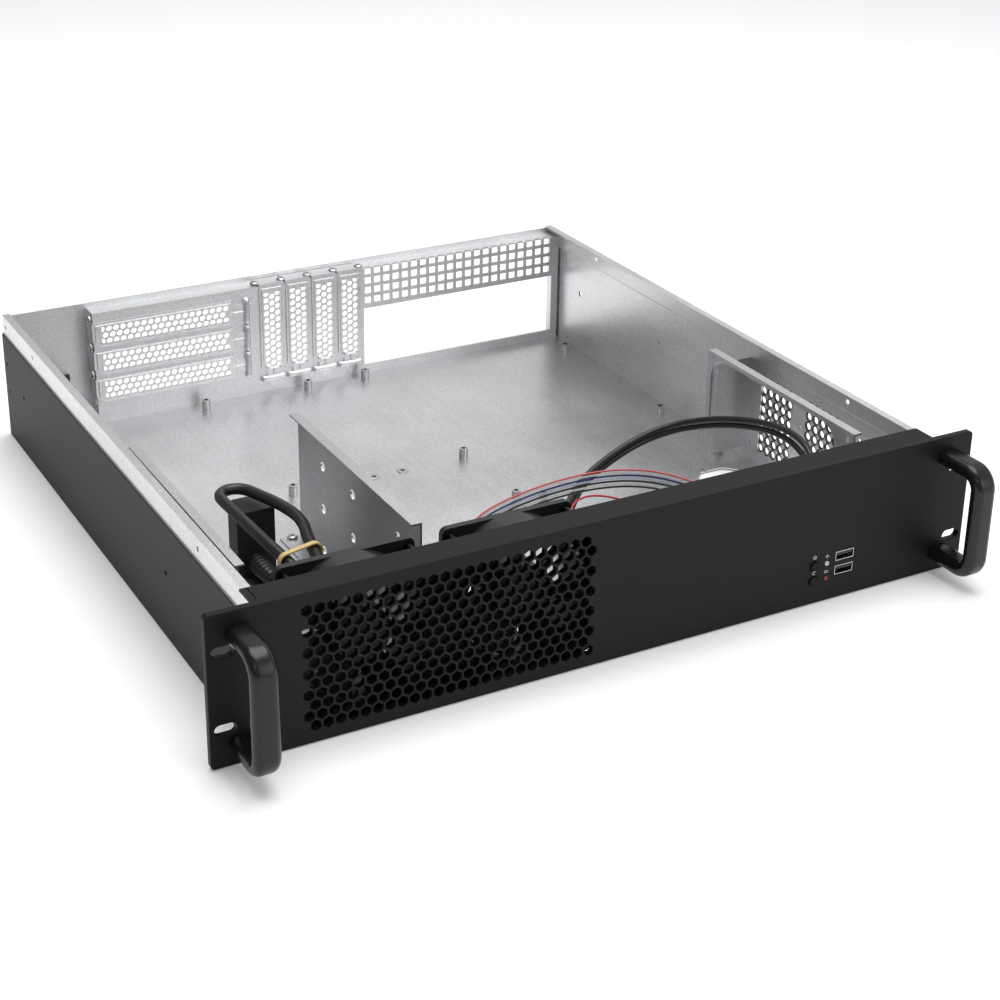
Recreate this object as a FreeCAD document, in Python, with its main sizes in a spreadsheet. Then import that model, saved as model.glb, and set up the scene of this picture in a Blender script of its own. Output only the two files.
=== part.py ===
import FreeCAD, Part
import math
import os
import re

import Sketcher
from FreeCAD import Placement, Rotation, Vector

# An empty 2U rackmount server case with its lid off: a folded steel tray closed by a thick
# front panel with two handles and a hexagon grille, a recessed rear panel with seven slot
# covers, two fans behind the grille, a cage for drives, a mount for the power supply and
# the loose cables.  Millimetres, X to the right seen from the front, Y to the rear, Z up.
# The origin is under the middle of the case, on the surface it stands on.

os.makedirs("parts", exist_ok=True)
doc = FreeCAD.newDocument("server_case")

SIZES = [
    # front panel and its ears
    ("panel_width", "482.6", "over both ears"),
    ("panel_height", "88.1", "two rack units less the gap"),
    ("panel_thick", "4", ""),
    ("panel_corner", "2.5", "radius of the four corners"),
    ("panel_lift", "0.2", "panel edge above the tray's underside"),
    ("ear_pitch_wide", "465.1", "between the ear slots of both sides"),
    ("ear_pitch_high", "44.45", "between the slots of one ear"),
    ("ear_slot_long", "12.3", ""),
    ("ear_slot_high", "6.5", ""),
    # handles
    ("handle_pitch", "447.6", "between the middles of both handles"),
    ("handle_span", "63", "between the legs of one handle"),
    ("handle_reach", "36.25", "panel face to the front of the grip"),
    ("grip_wide", "15", "grip section across"),
    ("grip_deep", "9.5", "grip section front to back"),
    ("grip_bend", "10", "bend of the grip's middle line"),
    ("handle_bolt", "4.8", "bolt shank"),
    ("handle_bolt_sink", "8", "bolt length inside a leg"),
    ("bolt_slack", "0.2", "round each shank, on the radius"),
    # hexagon grille
    ("hex_flats", "5.6", "one hole across its flats"),
    ("hex_pitch", "7.07", "between columns"),
    ("hex_rise", "6.15", "between rows"),
    ("hex_columns", "24", ""),
    ("hex_row_pairs", "6", ""),
    ("hex_left", "183.67", "first hole of the lowest row, left of the middle"),
    ("hex_bottom", "10.15", "lowest row of holes above the tray's underside"),
    # front buttons, lights and ports
    ("button_place", "131", "middle of the buttons"),
    ("light_place", "140", "middle of the lights"),
    ("port_place", "153", "middle of the ports"),
    ("button_upper", "24.8", "height of the power button"),
    ("button_lower", "15.2", "height of the reset button"),
    ("port_upper", "27.4", ""),
    ("port_lower", "18.3", ""),
    ("button_round", "5.8", "diameter of a button"),
    ("button_proud", "1", "button beyond the panel face"),
    ("button_travel", "1", ""),
    ("button_slack", "0.25", "button in its hole, on the radius"),
    ("light_round", "2.9", "diameter of a light"),
    ("light_slack", "0.1", "light in its hole, on the radius"),
    ("port_wide", "13.1", "port shell"),
    ("port_high", "5.8", ""),
    ("port_slack", "0.25", "port shell in the panel"),
    ("board_set", "14", "panel face to the small board"),
    ("board_thick", "1.6", ""),
    # tray
    ("case_width", "430", "over the side walls"),
    ("case_depth", "447", "panel face to the rear edge"),
    ("case_height", "87.5", "to the top of the ledges"),
    ("sheet", "1.2", "steel of the tray and the rear"),
    ("thin_sheet", "1", "steel of the brackets and covers"),
    ("strip_high", "12.5", "upper strip that the lid laps"),
    ("strip_jog", "1.2", "strip set in by the lid's thickness"),
    ("ledge_wide", "5.1", "top ledge of a side wall"),
    ("front_lap", "16", "flange behind the panel that carries the lid"),
    # side vent
    ("vent_pitch", "6.9", "between the round air holes of the right wall"),
    ("vent_hole", "5.2", ""),
    ("vent_rear", "166.7", "panel face to the rearmost column"),
    ("vent_low", "14.8", "lowest row"),
    ("vent_rows", "8", ""),
    ("vent_columns", "12", "two of them left out in the middle for a hole"),
    # rear
    ("recess_deep", "14", "rear edge to the slot face"),
    ("recess_drop", "4.7", "top of the slot recess below the ledges"),
    ("port_plate_side", "5.65", "port plate opening to the strip"),
    ("port_plate_wide", "158.75", "opening for the port plate"),
    ("port_plate_high", "44.45", ""),
    ("port_plate_low", "7.5", "lower edge of the opening"),
    ("slot_pitch", "20.32", ""),
    ("cover_wide", "18.42", ""),
    ("slot_open", "13", "width of the slot behind a cover"),
    ("first_low_slot", "11.8", "port plate opening to the nearest upright cover"),
    ("upright_low", "17", "lower end of an upright cover's plate"),
    ("upright_tongue", "5.4", "lower end of its tongue"),
    ("lying_first", "25.7", "height of the lowest lying cover"),
    ("lying_long", "105", "plate of a lying cover"),
    ("lying_gap", "26.44", "last upright cover's middle to the lying ones"),
    ("lying_tongue", "11", ""),
    ("slot_screw_shift", "10.9", "cover's middle to its screw"),
    ("grid_pitch", "7.525", "square holes over the port plate"),
    ("grid_hole", "5.1", ""),
    ("grid_columns", "21", ""),
    ("grid_rows", "4", ""),
    ("grid_low", "58.1", "lowest row of square holes"),
    ("inlet_place", "26.8", "left wall to the mains inlet's middle"),
    ("inlet_height", "25", ""),
    ("inlet_wide", "27", "inlet body"),
    ("inlet_high", "20", ""),
    ("inlet_deep", "22", ""),
    # floor
    ("board_right", "5.55", "port plate's right edge to the first hole column"),
    ("board_column_one", "157.48", "first to middle hole column"),
    ("board_column_two", "124.46", "middle to last hole column"),
    ("board_column_extra", "45.72", "middle to the extra hole"),
    ("board_rear_row", "9.5", "slot face to the rear hole row"),
    ("board_row_drop", "22.86", "shift of the first column's rear hole"),
    ("board_row_one", "154.94", "rear to middle hole row"),
    ("board_row_two", "72.39", "middle to front hole row"),
    ("standoff_high", "7", ""),
    ("standoff_round", "5.9", ""),
    ("standoff_bore", "3", "threaded hole"),
    ("cut_right", "16", "floor cut-out to the right wall"),
    ("cut_wide", "31.3", ""),
    ("cut_front", "130", "panel face to the cut-out"),
    ("cut_long", "46", ""),
    ("cut_corner", "7", ""),
    # drive cage
    ("bay_front", "49.5", "panel face to the cage"),
    ("bay_long", "164.5", ""),
    ("bay_drop", "3.5", "cage below the ledges"),
    ("bay_side", "8.3", "left wall to the left rail"),
    ("bay_wide", "105.5", "between rail and divider"),
    ("bay_flange", "5.3", "top flange"),
    ("bay_foot", "14", "foot flange of the divider"),
    ("drive_hole", "6", ""),
    ("drive_hole_low", "7", "lowest row of drive holes"),
    ("drive_rise", "28", "between rows"),
    ("drive_hole_front", "77", "panel face to the first drive hole"),
    ("drive_hole_middle", "136", ""),
    ("drive_hole_rear", "178", ""),
    # mount of the power supply
    ("supply_wide", "26.3", "right wall to the plate"),
    ("supply_front", "41.1", "panel face to the plate"),
    ("supply_long", "152.4", ""),
    ("supply_drop", "7.1", "plate below the ledges"),
    ("supply_leg", "17", "front leg of the arch"),
    ("supply_rear_leg", "4", ""),
    ("supply_beam", "3", "beam over the arch"),
    ("supply_round", "14", "corner of the arch"),
    ("supply_flange", "5.7", "rolled top flange"),
    ("brace_set", "184.5", "panel face to the cross plate's rear"),
    ("brace_low", "9", "lower edge of the cross plate"),
    ("brace_high", "73.5", "upper edge of the cross plate"),
    ("brace_lap", "16", "flange on the right wall"),
    # fans
    ("fan_wide", "80", ""),
    ("fan_deep", "25", ""),
    ("fan_place", "147.6", "left fan, left of the middle"),
    ("fan_pitch", "96.4", "between the fans"),
    ("fan_gap", "1.3", "fan above the floor"),
    ("fan_screws_pitch", "71.5", ""),
    ("fan_screw", "3.8", ""),
    ("fan_screw_hole", "4.3", ""),
    ("fan_bore", "77", ""),
    ("fan_tip", "75", "diameter over the blades"),
    ("fan_hub", "34", ""),
    ("fan_lug", "4", "thickness of a corner lug"),
    ("fan_shaft", "3", ""),
    ("shaft_slack", "0.05", "shaft in its bearing, on the radius"),
    ("fan_wall_set", "17", "panel face to the fan wall"),
    # cables
    ("mains_cord", "7", "diameter"),
    ("port_cord", "4", "diameter"),
    ("wire", "1.3", "diameter"),
    ("seat_gap", "0.3", "gap of pieces that move or rest on each other"),
]

dims = doc.addObject("Spreadsheet::Sheet", "dims")
for row, (name, number, note) in enumerate(SIZES, 1):
    dims.set("A%d" % row, name)
    dims.set("B%d" % row, number)
    dims.set("C%d" % row, note)
    dims.setAlias("B%d" % row, name)
doc.recompute()

# Places that several pieces share, each worked out once from the sizes.
PLACES = [
    ("face", "(handle_reach - case_depth) / 2"),
    ("back", "face + panel_thick"),
    ("rear", "face + case_depth"),
    ("half", "case_width / 2"),
    ("wall", "half - sheet"),
    ("strip", "half - strip_jog"),
    ("strip_in", "strip - sheet"),
    ("shoulder", "case_height - strip_high"),
    ("panel_mid", "panel_lift + panel_height / 2"),
    ("slot_face", "rear - recess_deep"),
    ("recess_top", "case_height - recess_drop"),
    ("port_right", "strip_in - port_plate_side"),
    ("port_left", "port_right - port_plate_wide"),
    ("upright_first", "port_left - first_low_slot"),
    ("upright_last", "upright_first - 3 * slot_pitch"),
    ("lying_right", "upright_last - lying_gap"),
    ("lying_left", "lying_right - lying_long"),
    ("inlet_x", "inlet_place - wall"),
    ("column_a", "port_right - board_right"),
    ("column_b", "column_a - board_column_one"),
    ("column_c", "column_b - board_column_two"),
    ("column_d", "column_b - board_column_extra"),
    ("row_rear", "slot_face - board_rear_row"),
    ("row_middle", "row_rear - board_row_one"),
    ("row_front", "row_middle - board_row_two"),
    ("rail_x", "bay_side - wall"),
    ("divider_x", "rail_x + thin_sheet + bay_wide"),
    ("bay_y", "face + bay_front"),
    ("bay_top", "case_height - bay_drop"),
    ("plate_x", "wall - supply_wide - thin_sheet"),
    ("plate_y", "face + supply_front"),
    ("plate_top", "case_height - supply_drop"),
    ("brace_y", "face + brace_set"),
    ("fan_z", "sheet + fan_gap + fan_wide / 2"),
    ("fan_left", "-fan_place"),
    ("fan_right", "fan_pitch - fan_place"),
    ("fan_y", "face + fan_wall_set + sheet"),
    ("fan_back", "fan_y + fan_deep"),
    ("board_y", "face + board_set"),
    ("board_back", "board_y + board_thick"),
]
KNOWN = {name: "dims." for name, _number, _note in SIZES}
places = doc.addObject("App::VarSet", "places")


def linked(text):
    """The expression with each size and place named in full."""
    return re.sub(r"[a-z_]+", lambda found: KNOWN.get(found.group(), "") + found.group(), str(text))


for name, rule in PLACES:
    places.addProperty("App::PropertyFloat", name)
    places.setExpression(name, linked(rule))
    KNOWN[name] = "places."
doc.recompute()


def value(name):
    """The present number of a size or place, for shapes that code makes."""
    if KNOWN[name] == "places.":
        return float(getattr(places, name))
    return float(dims.get(name))


# Small makers of features, all bound to the sheet.


def put(feature, x=None, y=None, z=None):
    """Binds where a feature sits."""
    for letter, rule in (("x", x), ("y", y), ("z", z)):
        if rule is not None:
            feature.setExpression("Placement.Base." + letter, linked(rule))
    return feature


def block(label, x, y, z):
    """A box between two places along each axis."""
    box = doc.addObject("Part::Box", label)
    box.Label = label
    for prop, (low, high) in (("Length", x), ("Width", y), ("Height", z)):
        box.setExpression(prop, linked("(%s) - (%s)" % (high, low)))
    return put(box, x[0], y[0], z[0])


TURNS = {
    "x": Rotation(Vector(0, 1, 0), 90),
    "y": Rotation(Vector(1, 0, 0), -90),
    "z": Rotation(),
}


def rod(label, radius, axis, span, a, b):
    """A round bar along one axis; a and b are its places on the other two, in XYZ order."""
    bar = doc.addObject("Part::Cylinder", label)
    bar.Label = label
    bar.setExpression("Radius", linked(radius))
    bar.setExpression("Height", linked("(%s) - (%s)" % (span[1], span[0])))
    bar.Placement = Placement(Vector(), TURNS[axis])
    spot = {"x": (span[0], a, b), "y": (a, span[0], b), "z": (a, b, span[0])}[axis]
    return put(bar, *spot)


def fuse(label, pieces):
    """One piece made of several that run into each other."""
    whole = doc.addObject("Part::MultiFuse", label)
    whole.Label = label
    whole.Shapes = pieces
    whole.Refine = True
    return whole


def group(label, pieces):
    """Several solids that stay apart under one label."""
    whole = doc.addObject("Part::Compound", label)
    whole.Label = label
    whole.Links = pieces
    return whole


def cut(label, base, tools):
    """A piece with holes or pockets taken out."""
    tool = tools[0] if len(tools) == 1 else group(label + " cuts", tools)
    whole = doc.addObject("Part::Cut", label)
    whole.Label = label
    whole.Base = base
    whole.Tool = tool
    return whole


def made(label, shape):
    """A piece whose shape code works out from the sheet's numbers."""
    piece = doc.addObject("Part::Feature", label)
    piece.Label = label
    piece.Shape = shape
    return piece


def new_body(label):
    """An empty body for sketched features."""
    body = doc.addObject("PartDesign::Body", label)
    body.Label = label
    return body


def origin_plane(body, role):
    """One of the body's own planes."""
    return [item for item in body.Origin.OriginFeatures if item.Role == role][0]


def new_sketch(body, label, role):
    """An empty sketch on one of the body's planes."""
    sketch = body.newObject("Sketcher::SketchObject", label)
    sketch.Label = label
    sketch.AttachmentSupport = (origin_plane(body, role), [""])
    sketch.MapMode = "FlatFace"
    return sketch


def pin(sketch, item, end, across, up):
    """Holds one sketch point at one or two expressions."""
    drawn = sketch.getPoint(item, end)
    for kind, rule, place in (("DistanceX", across, drawn.x), ("DistanceY", up, drawn.y)):
        if rule is None:
            continue
        number = sketch.addConstraint(Sketcher.Constraint(kind, -1, 1, item, end, place))
        sketch.setExpression("Constraints[%d]" % number, linked(rule))


def corners(sketch, points):
    """A closed loop of straight lines through expression points."""
    first = sketch.GeometryCount
    count = len(points)
    ring = [Vector(math.cos(2 * math.pi * i / count), math.sin(2 * math.pi * i / count), 0) * 10
            for i in range(count)]
    for i in range(count):
        sketch.addGeometry(Part.LineSegment(ring[i], ring[(i + 1) % count]), False)
    for i in range(count):
        sketch.addConstraint(Sketcher.Constraint("Coincident", first + i, 2, first + (i + 1) % count, 1))
    for i, (across, up) in enumerate(points):
        pin(sketch, first + i, 1, across, up)


def circle(sketch, across, up, radius):
    """A bound circle."""
    item = sketch.addGeometry(Part.Circle(Vector(1, 1, 0), Vector(0, 0, 1), 2), False)
    pin(sketch, item, 3, across, up)
    number = sketch.addConstraint(Sketcher.Constraint("Radius", item, 2.0))
    sketch.setExpression("Constraints[%d]" % number, linked(radius))


def pad(body, sketch, length, back=False):
    """Thickens a sketch by a bound length."""
    feature = body.newObject("PartDesign::Pad", sketch.Label + " pad")
    feature.Profile = sketch
    feature.setExpression("Length", linked(length))
    feature.Reversed = back
    return feature


def through(body, sketch):
    """Cuts a sketch right through, both ways."""
    feature = body.newObject("PartDesign::Pocket", sketch.Label + " pocket")
    feature.Profile = sketch
    feature.Type = "ThroughAll"
    feature.Midplane = True
    return feature


def turned(label, role, points):
    """A solid of revolution about the sketch's upright axis."""
    body = new_body(label)
    sketch = new_sketch(body, label + " section", role)
    corners(sketch, points)
    feature = body.newObject("PartDesign::Revolution", label + " turn")
    feature.Profile = sketch
    feature.ReferenceAxis = (sketch, ["V_Axis"])
    feature.Angle = 360
    return body


def plain_screw(label, shank, under_head, head, head_high):
    """A screw standing on Z: a round head above 0 and a six-sided shank, its corners on the shank's radius."""
    stem = doc.addObject("Part::Prism", label + " shank")
    stem.Polygon = 6
    stem.setExpression("Circumradius", linked(shank))
    stem.setExpression("Height", linked(under_head + " + 0.2"))
    put(stem, z="-(%s)" % under_head)
    return fuse(label, [stem, rod(label + " head", head, "z", ("0", head_high), "0", "0")])


def scattered(label, master, spots, turn=Rotation()):
    """Copies of one solid at several spots, as one compound."""
    doc.recompute()
    copies = []
    for spot in spots:
        copy = master.Shape.copy()
        copy.Placement = Placement(spot, turn).multiply(copy.Placement)
        copies.append(copy)
    return made(label, Part.makeCompound(copies))


# Front panel: 4 mm aluminium plate with rounded corners, a hexagon grille before the fans,
# slotted ears, and holes for the handles, buttons, lights and ports.  The grille takes the
# most care: rows of two kinds, every other one shifted by half a pitch.

panel = new_body("front panel plate")
put(panel, y="face")
panel_outline = new_sketch(panel, "panel outline", "XZ_Plane")
corners(panel_outline, [
    ("-panel_width / 2", "panel_lift"),
    ("panel_width / 2", "panel_lift"),
    ("panel_width / 2", "panel_lift + panel_height"),
    ("-panel_width / 2", "panel_lift + panel_height"),
])
panel_pad = pad(panel, panel_outline, "panel_thick", back=True)
doc.recompute()
upright_edges = ["Edge%d" % (i + 1) for i, edge in enumerate(panel_pad.Shape.Edges)
                 if abs(edge.tangentAt(edge.FirstParameter).y) > 0.9]
rounding = panel.newObject("PartDesign::Fillet", "panel corners")
rounding.Base = (panel_pad, upright_edges)
rounding.setExpression("Radius", linked("panel_corner"))

HEX_RADIUS = "hex_flats / sqrt(3)"
for kind, shift, lift in (("lower", "0", "0"), ("upper", "hex_pitch / 2", "hex_rise")):
    across = "%s - hex_left - hex_pitch / 2" % ("hex_pitch / 2" if kind == "lower" else "0")
    up = "hex_bottom + %s" % lift
    hexagon = new_sketch(panel, "hexagon of the %s rows" % kind, "XZ_Plane")
    corners(hexagon, [
        (across, "%s + %s" % (up, HEX_RADIUS)),
        (across + " - hex_flats / 2", "%s + %s / 2" % (up, HEX_RADIUS)),
        (across + " - hex_flats / 2", "%s - %s / 2" % (up, HEX_RADIUS)),
        (across, "%s - %s" % (up, HEX_RADIUS)),
        (across + " + hex_flats / 2", "%s - %s / 2" % (up, HEX_RADIUS)),
        (across + " + hex_flats / 2", "%s + %s / 2" % (up, HEX_RADIUS)),
    ])
    hole = through(panel, hexagon)
    rows = panel.newObject("PartDesign::LinearPattern", "%s rows" % kind)
    rows.Originals = [hole]
    rows.Direction = (hexagon, ["H_Axis"])
    rows.Mode = "Spacing"
    rows.setExpression("Offset", linked("hex_pitch"))
    rows.setExpression("Occurrences", linked("hex_columns"))
    rows.Direction2 = (hexagon, ["V_Axis"])
    rows.Mode2 = "Spacing"
    rows.setExpression("Offset2", linked("2 * hex_rise"))
    rows.setExpression("Occurrences2", linked("hex_row_pairs"))
    panel.Tip = rows

THROUGH_PANEL = ("face - 1", "back + 1")
panel_holes = []
for side in ("-", ""):
    for level in ("-", "+"):
        middle = "panel_mid %s ear_pitch_high / 2" % level
        x = "%sear_pitch_wide / 2" % side
        reach = "(ear_slot_long - ear_slot_high) / 2"
        panel_holes.append(fuse("ear slot", [
            block("slot middle", ("%s - %s" % (x, reach), "%s + %s" % (x, reach)), THROUGH_PANEL,
                  (middle + " - ear_slot_high / 2", middle + " + ear_slot_high / 2")),
            rod("slot end", "ear_slot_high / 2", "y", THROUGH_PANEL, "%s - %s" % (x, reach), middle),
            rod("slot end", "ear_slot_high / 2", "y", THROUGH_PANEL, "%s + %s" % (x, reach), middle),
        ]))
        panel_holes.append(rod("bolt hole", "handle_bolt / 2 + bolt_slack", "y", THROUGH_PANEL,
                               "%shandle_pitch / 2" % side, "panel_mid %s handle_span / 2" % level))
for height in ("button_upper", "button_lower"):
    panel_holes.append(rod("button hole", "button_round / 2 + button_slack", "y", THROUGH_PANEL,
                           "button_place", height))
    panel_holes.append(rod("light hole", "light_round / 2 + light_slack", "y", THROUGH_PANEL,
                           "light_place", height))
for height in ("port_upper", "port_lower"):
    panel_holes.append(block("port hole",
                             ("port_place - port_wide / 2 - port_slack", "port_place + port_wide / 2 + port_slack"),
                             THROUGH_PANEL,
                             (height + " - port_high / 2 - port_slack", height + " + port_high / 2 + port_slack")))
front_panel = cut("front_panel", panel, panel_holes)

# Handles: solid bar bent into a bow, seated square on the panel face, its legs bored and
# tapped for the bolts that come through the panel from behind.

handles = []
for label, side in (("left_handle", "-"), ("right_handle", "")):
    bow = new_body(label + " bow")
    put(bow, side + "handle_pitch / 2", "face", "panel_mid")
    path = new_sketch(bow, label + " path", "YZ_Plane")
    path.addGeometry(Part.LineSegment(Vector(0, 31, 0), Vector(-21, 31, 0)), False)
    path.addGeometry(Part.ArcOfCircle(Part.Circle(Vector(-21, 21, 0), Vector(0, 0, 1), 10),
                                      math.pi / 2, math.pi), False)
    path.addGeometry(Part.LineSegment(Vector(-31, 21, 0), Vector(-31, -21, 0)), False)
    path.addGeometry(Part.ArcOfCircle(Part.Circle(Vector(-21, -21, 0), Vector(0, 0, 1), 10),
                                      math.pi, 1.5 * math.pi), False)
    path.addGeometry(Part.LineSegment(Vector(-21, -31, 0), Vector(0, -31, 0)), False)
    for line, arc, end, other in ((0, 1, 2, 1), (2, 1, 1, 2), (2, 3, 2, 1), (4, 3, 1, 2)):
        path.addConstraint(Sketcher.Constraint("Coincident", line, end, arc, other))
    path.addConstraint(Sketcher.Constraint("Vertical", 2))
    path.addConstraint(Sketcher.Constraint("Horizontal", 4))
    bend_y = "grip_deep / 2 + grip_bend - handle_reach"
    pin(path, 0, 1, "0", "handle_span / 2")
    pin(path, 0, 2, bend_y, "handle_span / 2")
    pin(path, 1, 3, bend_y, "handle_span / 2 - grip_bend")
    pin(path, 2, 1, None, "handle_span / 2 - grip_bend")
    pin(path, 2, 2, None, "grip_bend - handle_span / 2")
    pin(path, 3, 3, bend_y, "grip_bend - handle_span / 2")
    pin(path, 4, 1, bend_y, None)
    pin(path, 4, 2, "0", None)
    section = new_sketch(bow, label + " section", "XZ_Plane")
    flat = value("grip_wide") - value("grip_deep")
    lift = value("handle_span") / 2
    deep = value("grip_deep") / 2
    section.addGeometry(Part.LineSegment(Vector(-flat / 2, lift + deep, 0), Vector(flat / 2, lift + deep, 0)), False)
    section.addGeometry(Part.ArcOfCircle(Part.Circle(Vector(flat / 2, lift, 0), Vector(0, 0, 1), deep),
                                         -math.pi / 2, math.pi / 2), False)
    section.addGeometry(Part.LineSegment(Vector(flat / 2, lift - deep, 0), Vector(-flat / 2, lift - deep, 0)), False)
    section.addGeometry(Part.ArcOfCircle(Part.Circle(Vector(-flat / 2, lift, 0), Vector(0, 0, 1), deep),
                                         math.pi / 2, 1.5 * math.pi), False)
    for across, item in (("(grip_wide - grip_deep) / 2", 1), ("(grip_deep - grip_wide) / 2", 3)):
        pin(section, item, 3, across, "handle_span / 2")
    for line, arc, end, other in ((0, 1, 2, 2), (1, 2, 1, 1), (2, 3, 2, 2), (3, 0, 1, 1)):
        section.addConstraint(Sketcher.Constraint("Coincident", line, end, arc, other))
    for item, end, across, up in (
            (0, 1, "(grip_deep - grip_wide) / 2", "handle_span / 2 + grip_deep / 2"),
            (0, 2, "(grip_wide - grip_deep) / 2", "handle_span / 2 + grip_deep / 2"),
            (2, 1, "(grip_wide - grip_deep) / 2", None),
            (2, 2, "(grip_deep - grip_wide) / 2", None)):
        pin(section, item, end, across, up)
    sweep = bow.newObject("PartDesign::AdditivePipe", label + " sweep")
    sweep.Profile = section
    sweep.Spine = (path, ["Edge%d" % (i + 1) for i in range(5)])
    bores = [rod("handle thread", "handle_bolt / 2 + bolt_slack", "y",
                 ("face - handle_bolt_sink - seat_gap", "face + 1"),
                 side + "handle_pitch / 2", "panel_mid %s handle_span / 2" % level) for level in ("-", "+")]
    handles.append(cut(label, bow, bores))

bolt = plain_screw("handle bolt", "handle_bolt / 2", "panel_thick + handle_bolt_sink", "handle_bolt * 0.9",
                   "handle_bolt * 0.5")
handle_bolts = scattered("handle_bolts", bolt, [
    Vector(side * value("handle_pitch") / 2, value("back"),
           value("panel_mid") + level * value("handle_span") / 2)
    for side in (-1, 1) for level in (-1, 1)], Rotation(Vector(1, 0, 0), -90))

# Tray: one sheet folded into floor and side walls.  Each wall is set in by the lid's
# thickness along its top strip and ends in a ledge that the lid rests on.

tray = new_body("folded tray")
put(tray, y="rear")
tray_profile = new_sketch(tray, "tray profile", "XZ_Plane")
right_side = [
    ("half", "0"),
    ("half", "shoulder - sheet"),
    ("strip", "shoulder"),
    ("strip", "case_height"),
    ("strip - ledge_wide", "case_height"),
    ("strip - ledge_wide", "case_height - sheet"),
    ("strip_in", "case_height - sheet"),
    ("strip_in", "shoulder"),
    ("wall", "shoulder - sheet"),
    ("wall", "sheet"),
]
left_side = [("-(%s)" % across, up) for across, up in reversed(right_side)]
corners(tray_profile, right_side + left_side)
pad(tray, tray_profile, "rear - back")
tray_cuts = [
    block("front lap", ("-half - 1", "half + 1"), ("back - 1", "back + front_lap"),
          ("case_height - sheet", "case_height + 1")),
]
for side, places_list in (
        ("-", [("rear - 7.6", "54.6", "1.2"), ("rear - 8.4", "34.8", "1.2"), ("rear - 42.9", "43", "1.6"),
               ("rear - 5.9", "12.8", "1.2"), ("face + 131.6", "42.8", "1.6"),
               ("face + 81", "shoulder + 6.2", "1.6"), ("rear - 68.5", "shoulder + 6.2", "1.6")]),
        ("", [("rear - 46", "46.4", "2"), ("rear - 155", "45.7", "1.2"), ("face + 68.4", "59.7", "1.6"),
              ("face + 127.4", "45.6", "1.2"),
              ("face + 81", "shoulder + 6.2", "1.6"), ("rear - 68.5", "shoulder + 6.2", "1.6")])):
    for along, up, radius in places_list:
        span = ("half - 5", "half + 1") if side == "" else ("-half - 1", "5 - half")
        tray_cuts.append(rod("wall hole", radius, "x", span, along, up))
vent_rows = [value("vent_low") + number * value("vent_pitch") for number in range(int(value("vent_rows")))]
vent_holes = []
for column in range(int(value("vent_columns"))):
    if column in (5, 6):
        continue
    along = value("face") + value("vent_rear") - column * value("vent_pitch")
    for up in vent_rows:
        ring = [Vector(value("wall") - 1, along + value("vent_hole") / 2 * math.cos(math.pi * (side + 0.5) / 5),
                       up + value("vent_hole") / 2 * math.sin(math.pi * (side + 0.5) / 5)) for side in range(10)]
        vent_holes.append(Part.Face(Part.makePolygon(ring + ring[:1])).extrude(Vector(value("sheet") + 2, 0, 0)))
tray_cuts.append(made("side vent", Part.makeCompound(vent_holes)))
tray_cuts.append(block("lid tab slot", ("-half - 1", "5 - half"), ("rear - 8.5", "rear - 4"),
                       ("shoulder + 4.5", "shoulder + 6.5")))

floor_hole = new_body("floor cut-out")
floor_hole_shape = new_sketch(floor_hole, "floor cut-out shape", "XY_Plane")
CUT_X = ("wall - cut_right - cut_wide", "wall - cut_right")
CUT_Y = ("face + cut_front", "face + cut_front + cut_long")
corners(floor_hole_shape, [
    (CUT_X[0] + " + cut_corner", CUT_Y[0]), (CUT_X[1] + " - cut_corner", CUT_Y[0]),
    (CUT_X[1], CUT_Y[0] + " + cut_corner"), (CUT_X[1], CUT_Y[1] + " - cut_corner"),
    (CUT_X[1] + " - cut_corner", CUT_Y[1]), (CUT_X[0] + " + cut_corner", CUT_Y[1]),
    (CUT_X[0], CUT_Y[1] + " - cut_corner"), (CUT_X[0], CUT_Y[0] + " + cut_corner"),
])
floor_pad = pad(floor_hole, floor_hole_shape, "4 * sheet")
floor_pad.Midplane = True
tray_cuts.append(floor_hole)
tray_cuts.append(block("floor slit", ("wall - 36.8", "wall - 36"), (CUT_Y[1] + " - 3.5", CUT_Y[1] + " + 5.3"),
                       ("-1", "sheet + 1")))
FOOT_SCREWS = [
    ("divider_x - bay_foot / 2", "bay_y + bay_long - 3"),
    ("divider_x - bay_foot / 2", "bay_y + 6"),
    ("rail_x - bay_side / 2", "bay_y + bay_long - 3"),
    ("rail_x - bay_side / 2", "bay_y + 6"),
    ("plate_x + thin_sheet + 5", "plate_y + supply_leg / 2"),
    ("fan_left - 35", "fan_y - sheet - 5"),
    ("fan_right + 35", "fan_y - sheet - 5"),
]
for x, y in FOOT_SCREWS:
    tray_cuts.append(rod("foot screw hole", "fan_screw / 2 + bolt_slack", "z", ("-1", "sheet + 1"), x, y))
chassis_tray = cut("chassis_tray", tray, tray_cuts)

# Front frame: a web between the side walls behind the panel, folded back at the top into
# the flange that carries the lid's front edge.  It is open behind the grille and the ports.

GRILLE_X = ("-hex_left - hex_pitch - hex_flats / 2", "-hex_left + (hex_columns - 0.5) * hex_pitch + hex_flats / 2")
GRILLE_Z = ("hex_bottom - hex_rise / 2 - 1", "hex_bottom + (2 * hex_row_pairs - 0.5) * hex_rise")
frame_body = fuse("front frame folded", [
    block("frame web", ("-wall", "wall"), ("back", "back + sheet"), ("sheet", "shoulder - sheet")),
    block("frame web top", ("-strip_in", "strip_in"), ("back", "back + sheet"),
          ("shoulder - sheet", "case_height")),
    block("frame flange", ("-half", "half"), ("back", "back + front_lap"),
          ("case_height - sheet", "case_height")),
])
front_frame_cuts = [
    block("grille window", GRILLE_X, ("back - 1", "back + sheet + 1"), GRILLE_Z),
    block("ports window", ("button_place - 7.5", "port_place + 8.5"), ("back - 1", "back + sheet + 1"),
          ("button_lower - 7.2", "port_upper + 4.8")),
    block("flange slit", ("-half + 3.2", "-half + 4.2"), ("back + 3", "back + front_lap + 1"),
          ("case_height - 2 * sheet", "case_height + 1")),
]
front_frame = cut("front_frame", frame_body, front_frame_cuts)

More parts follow.
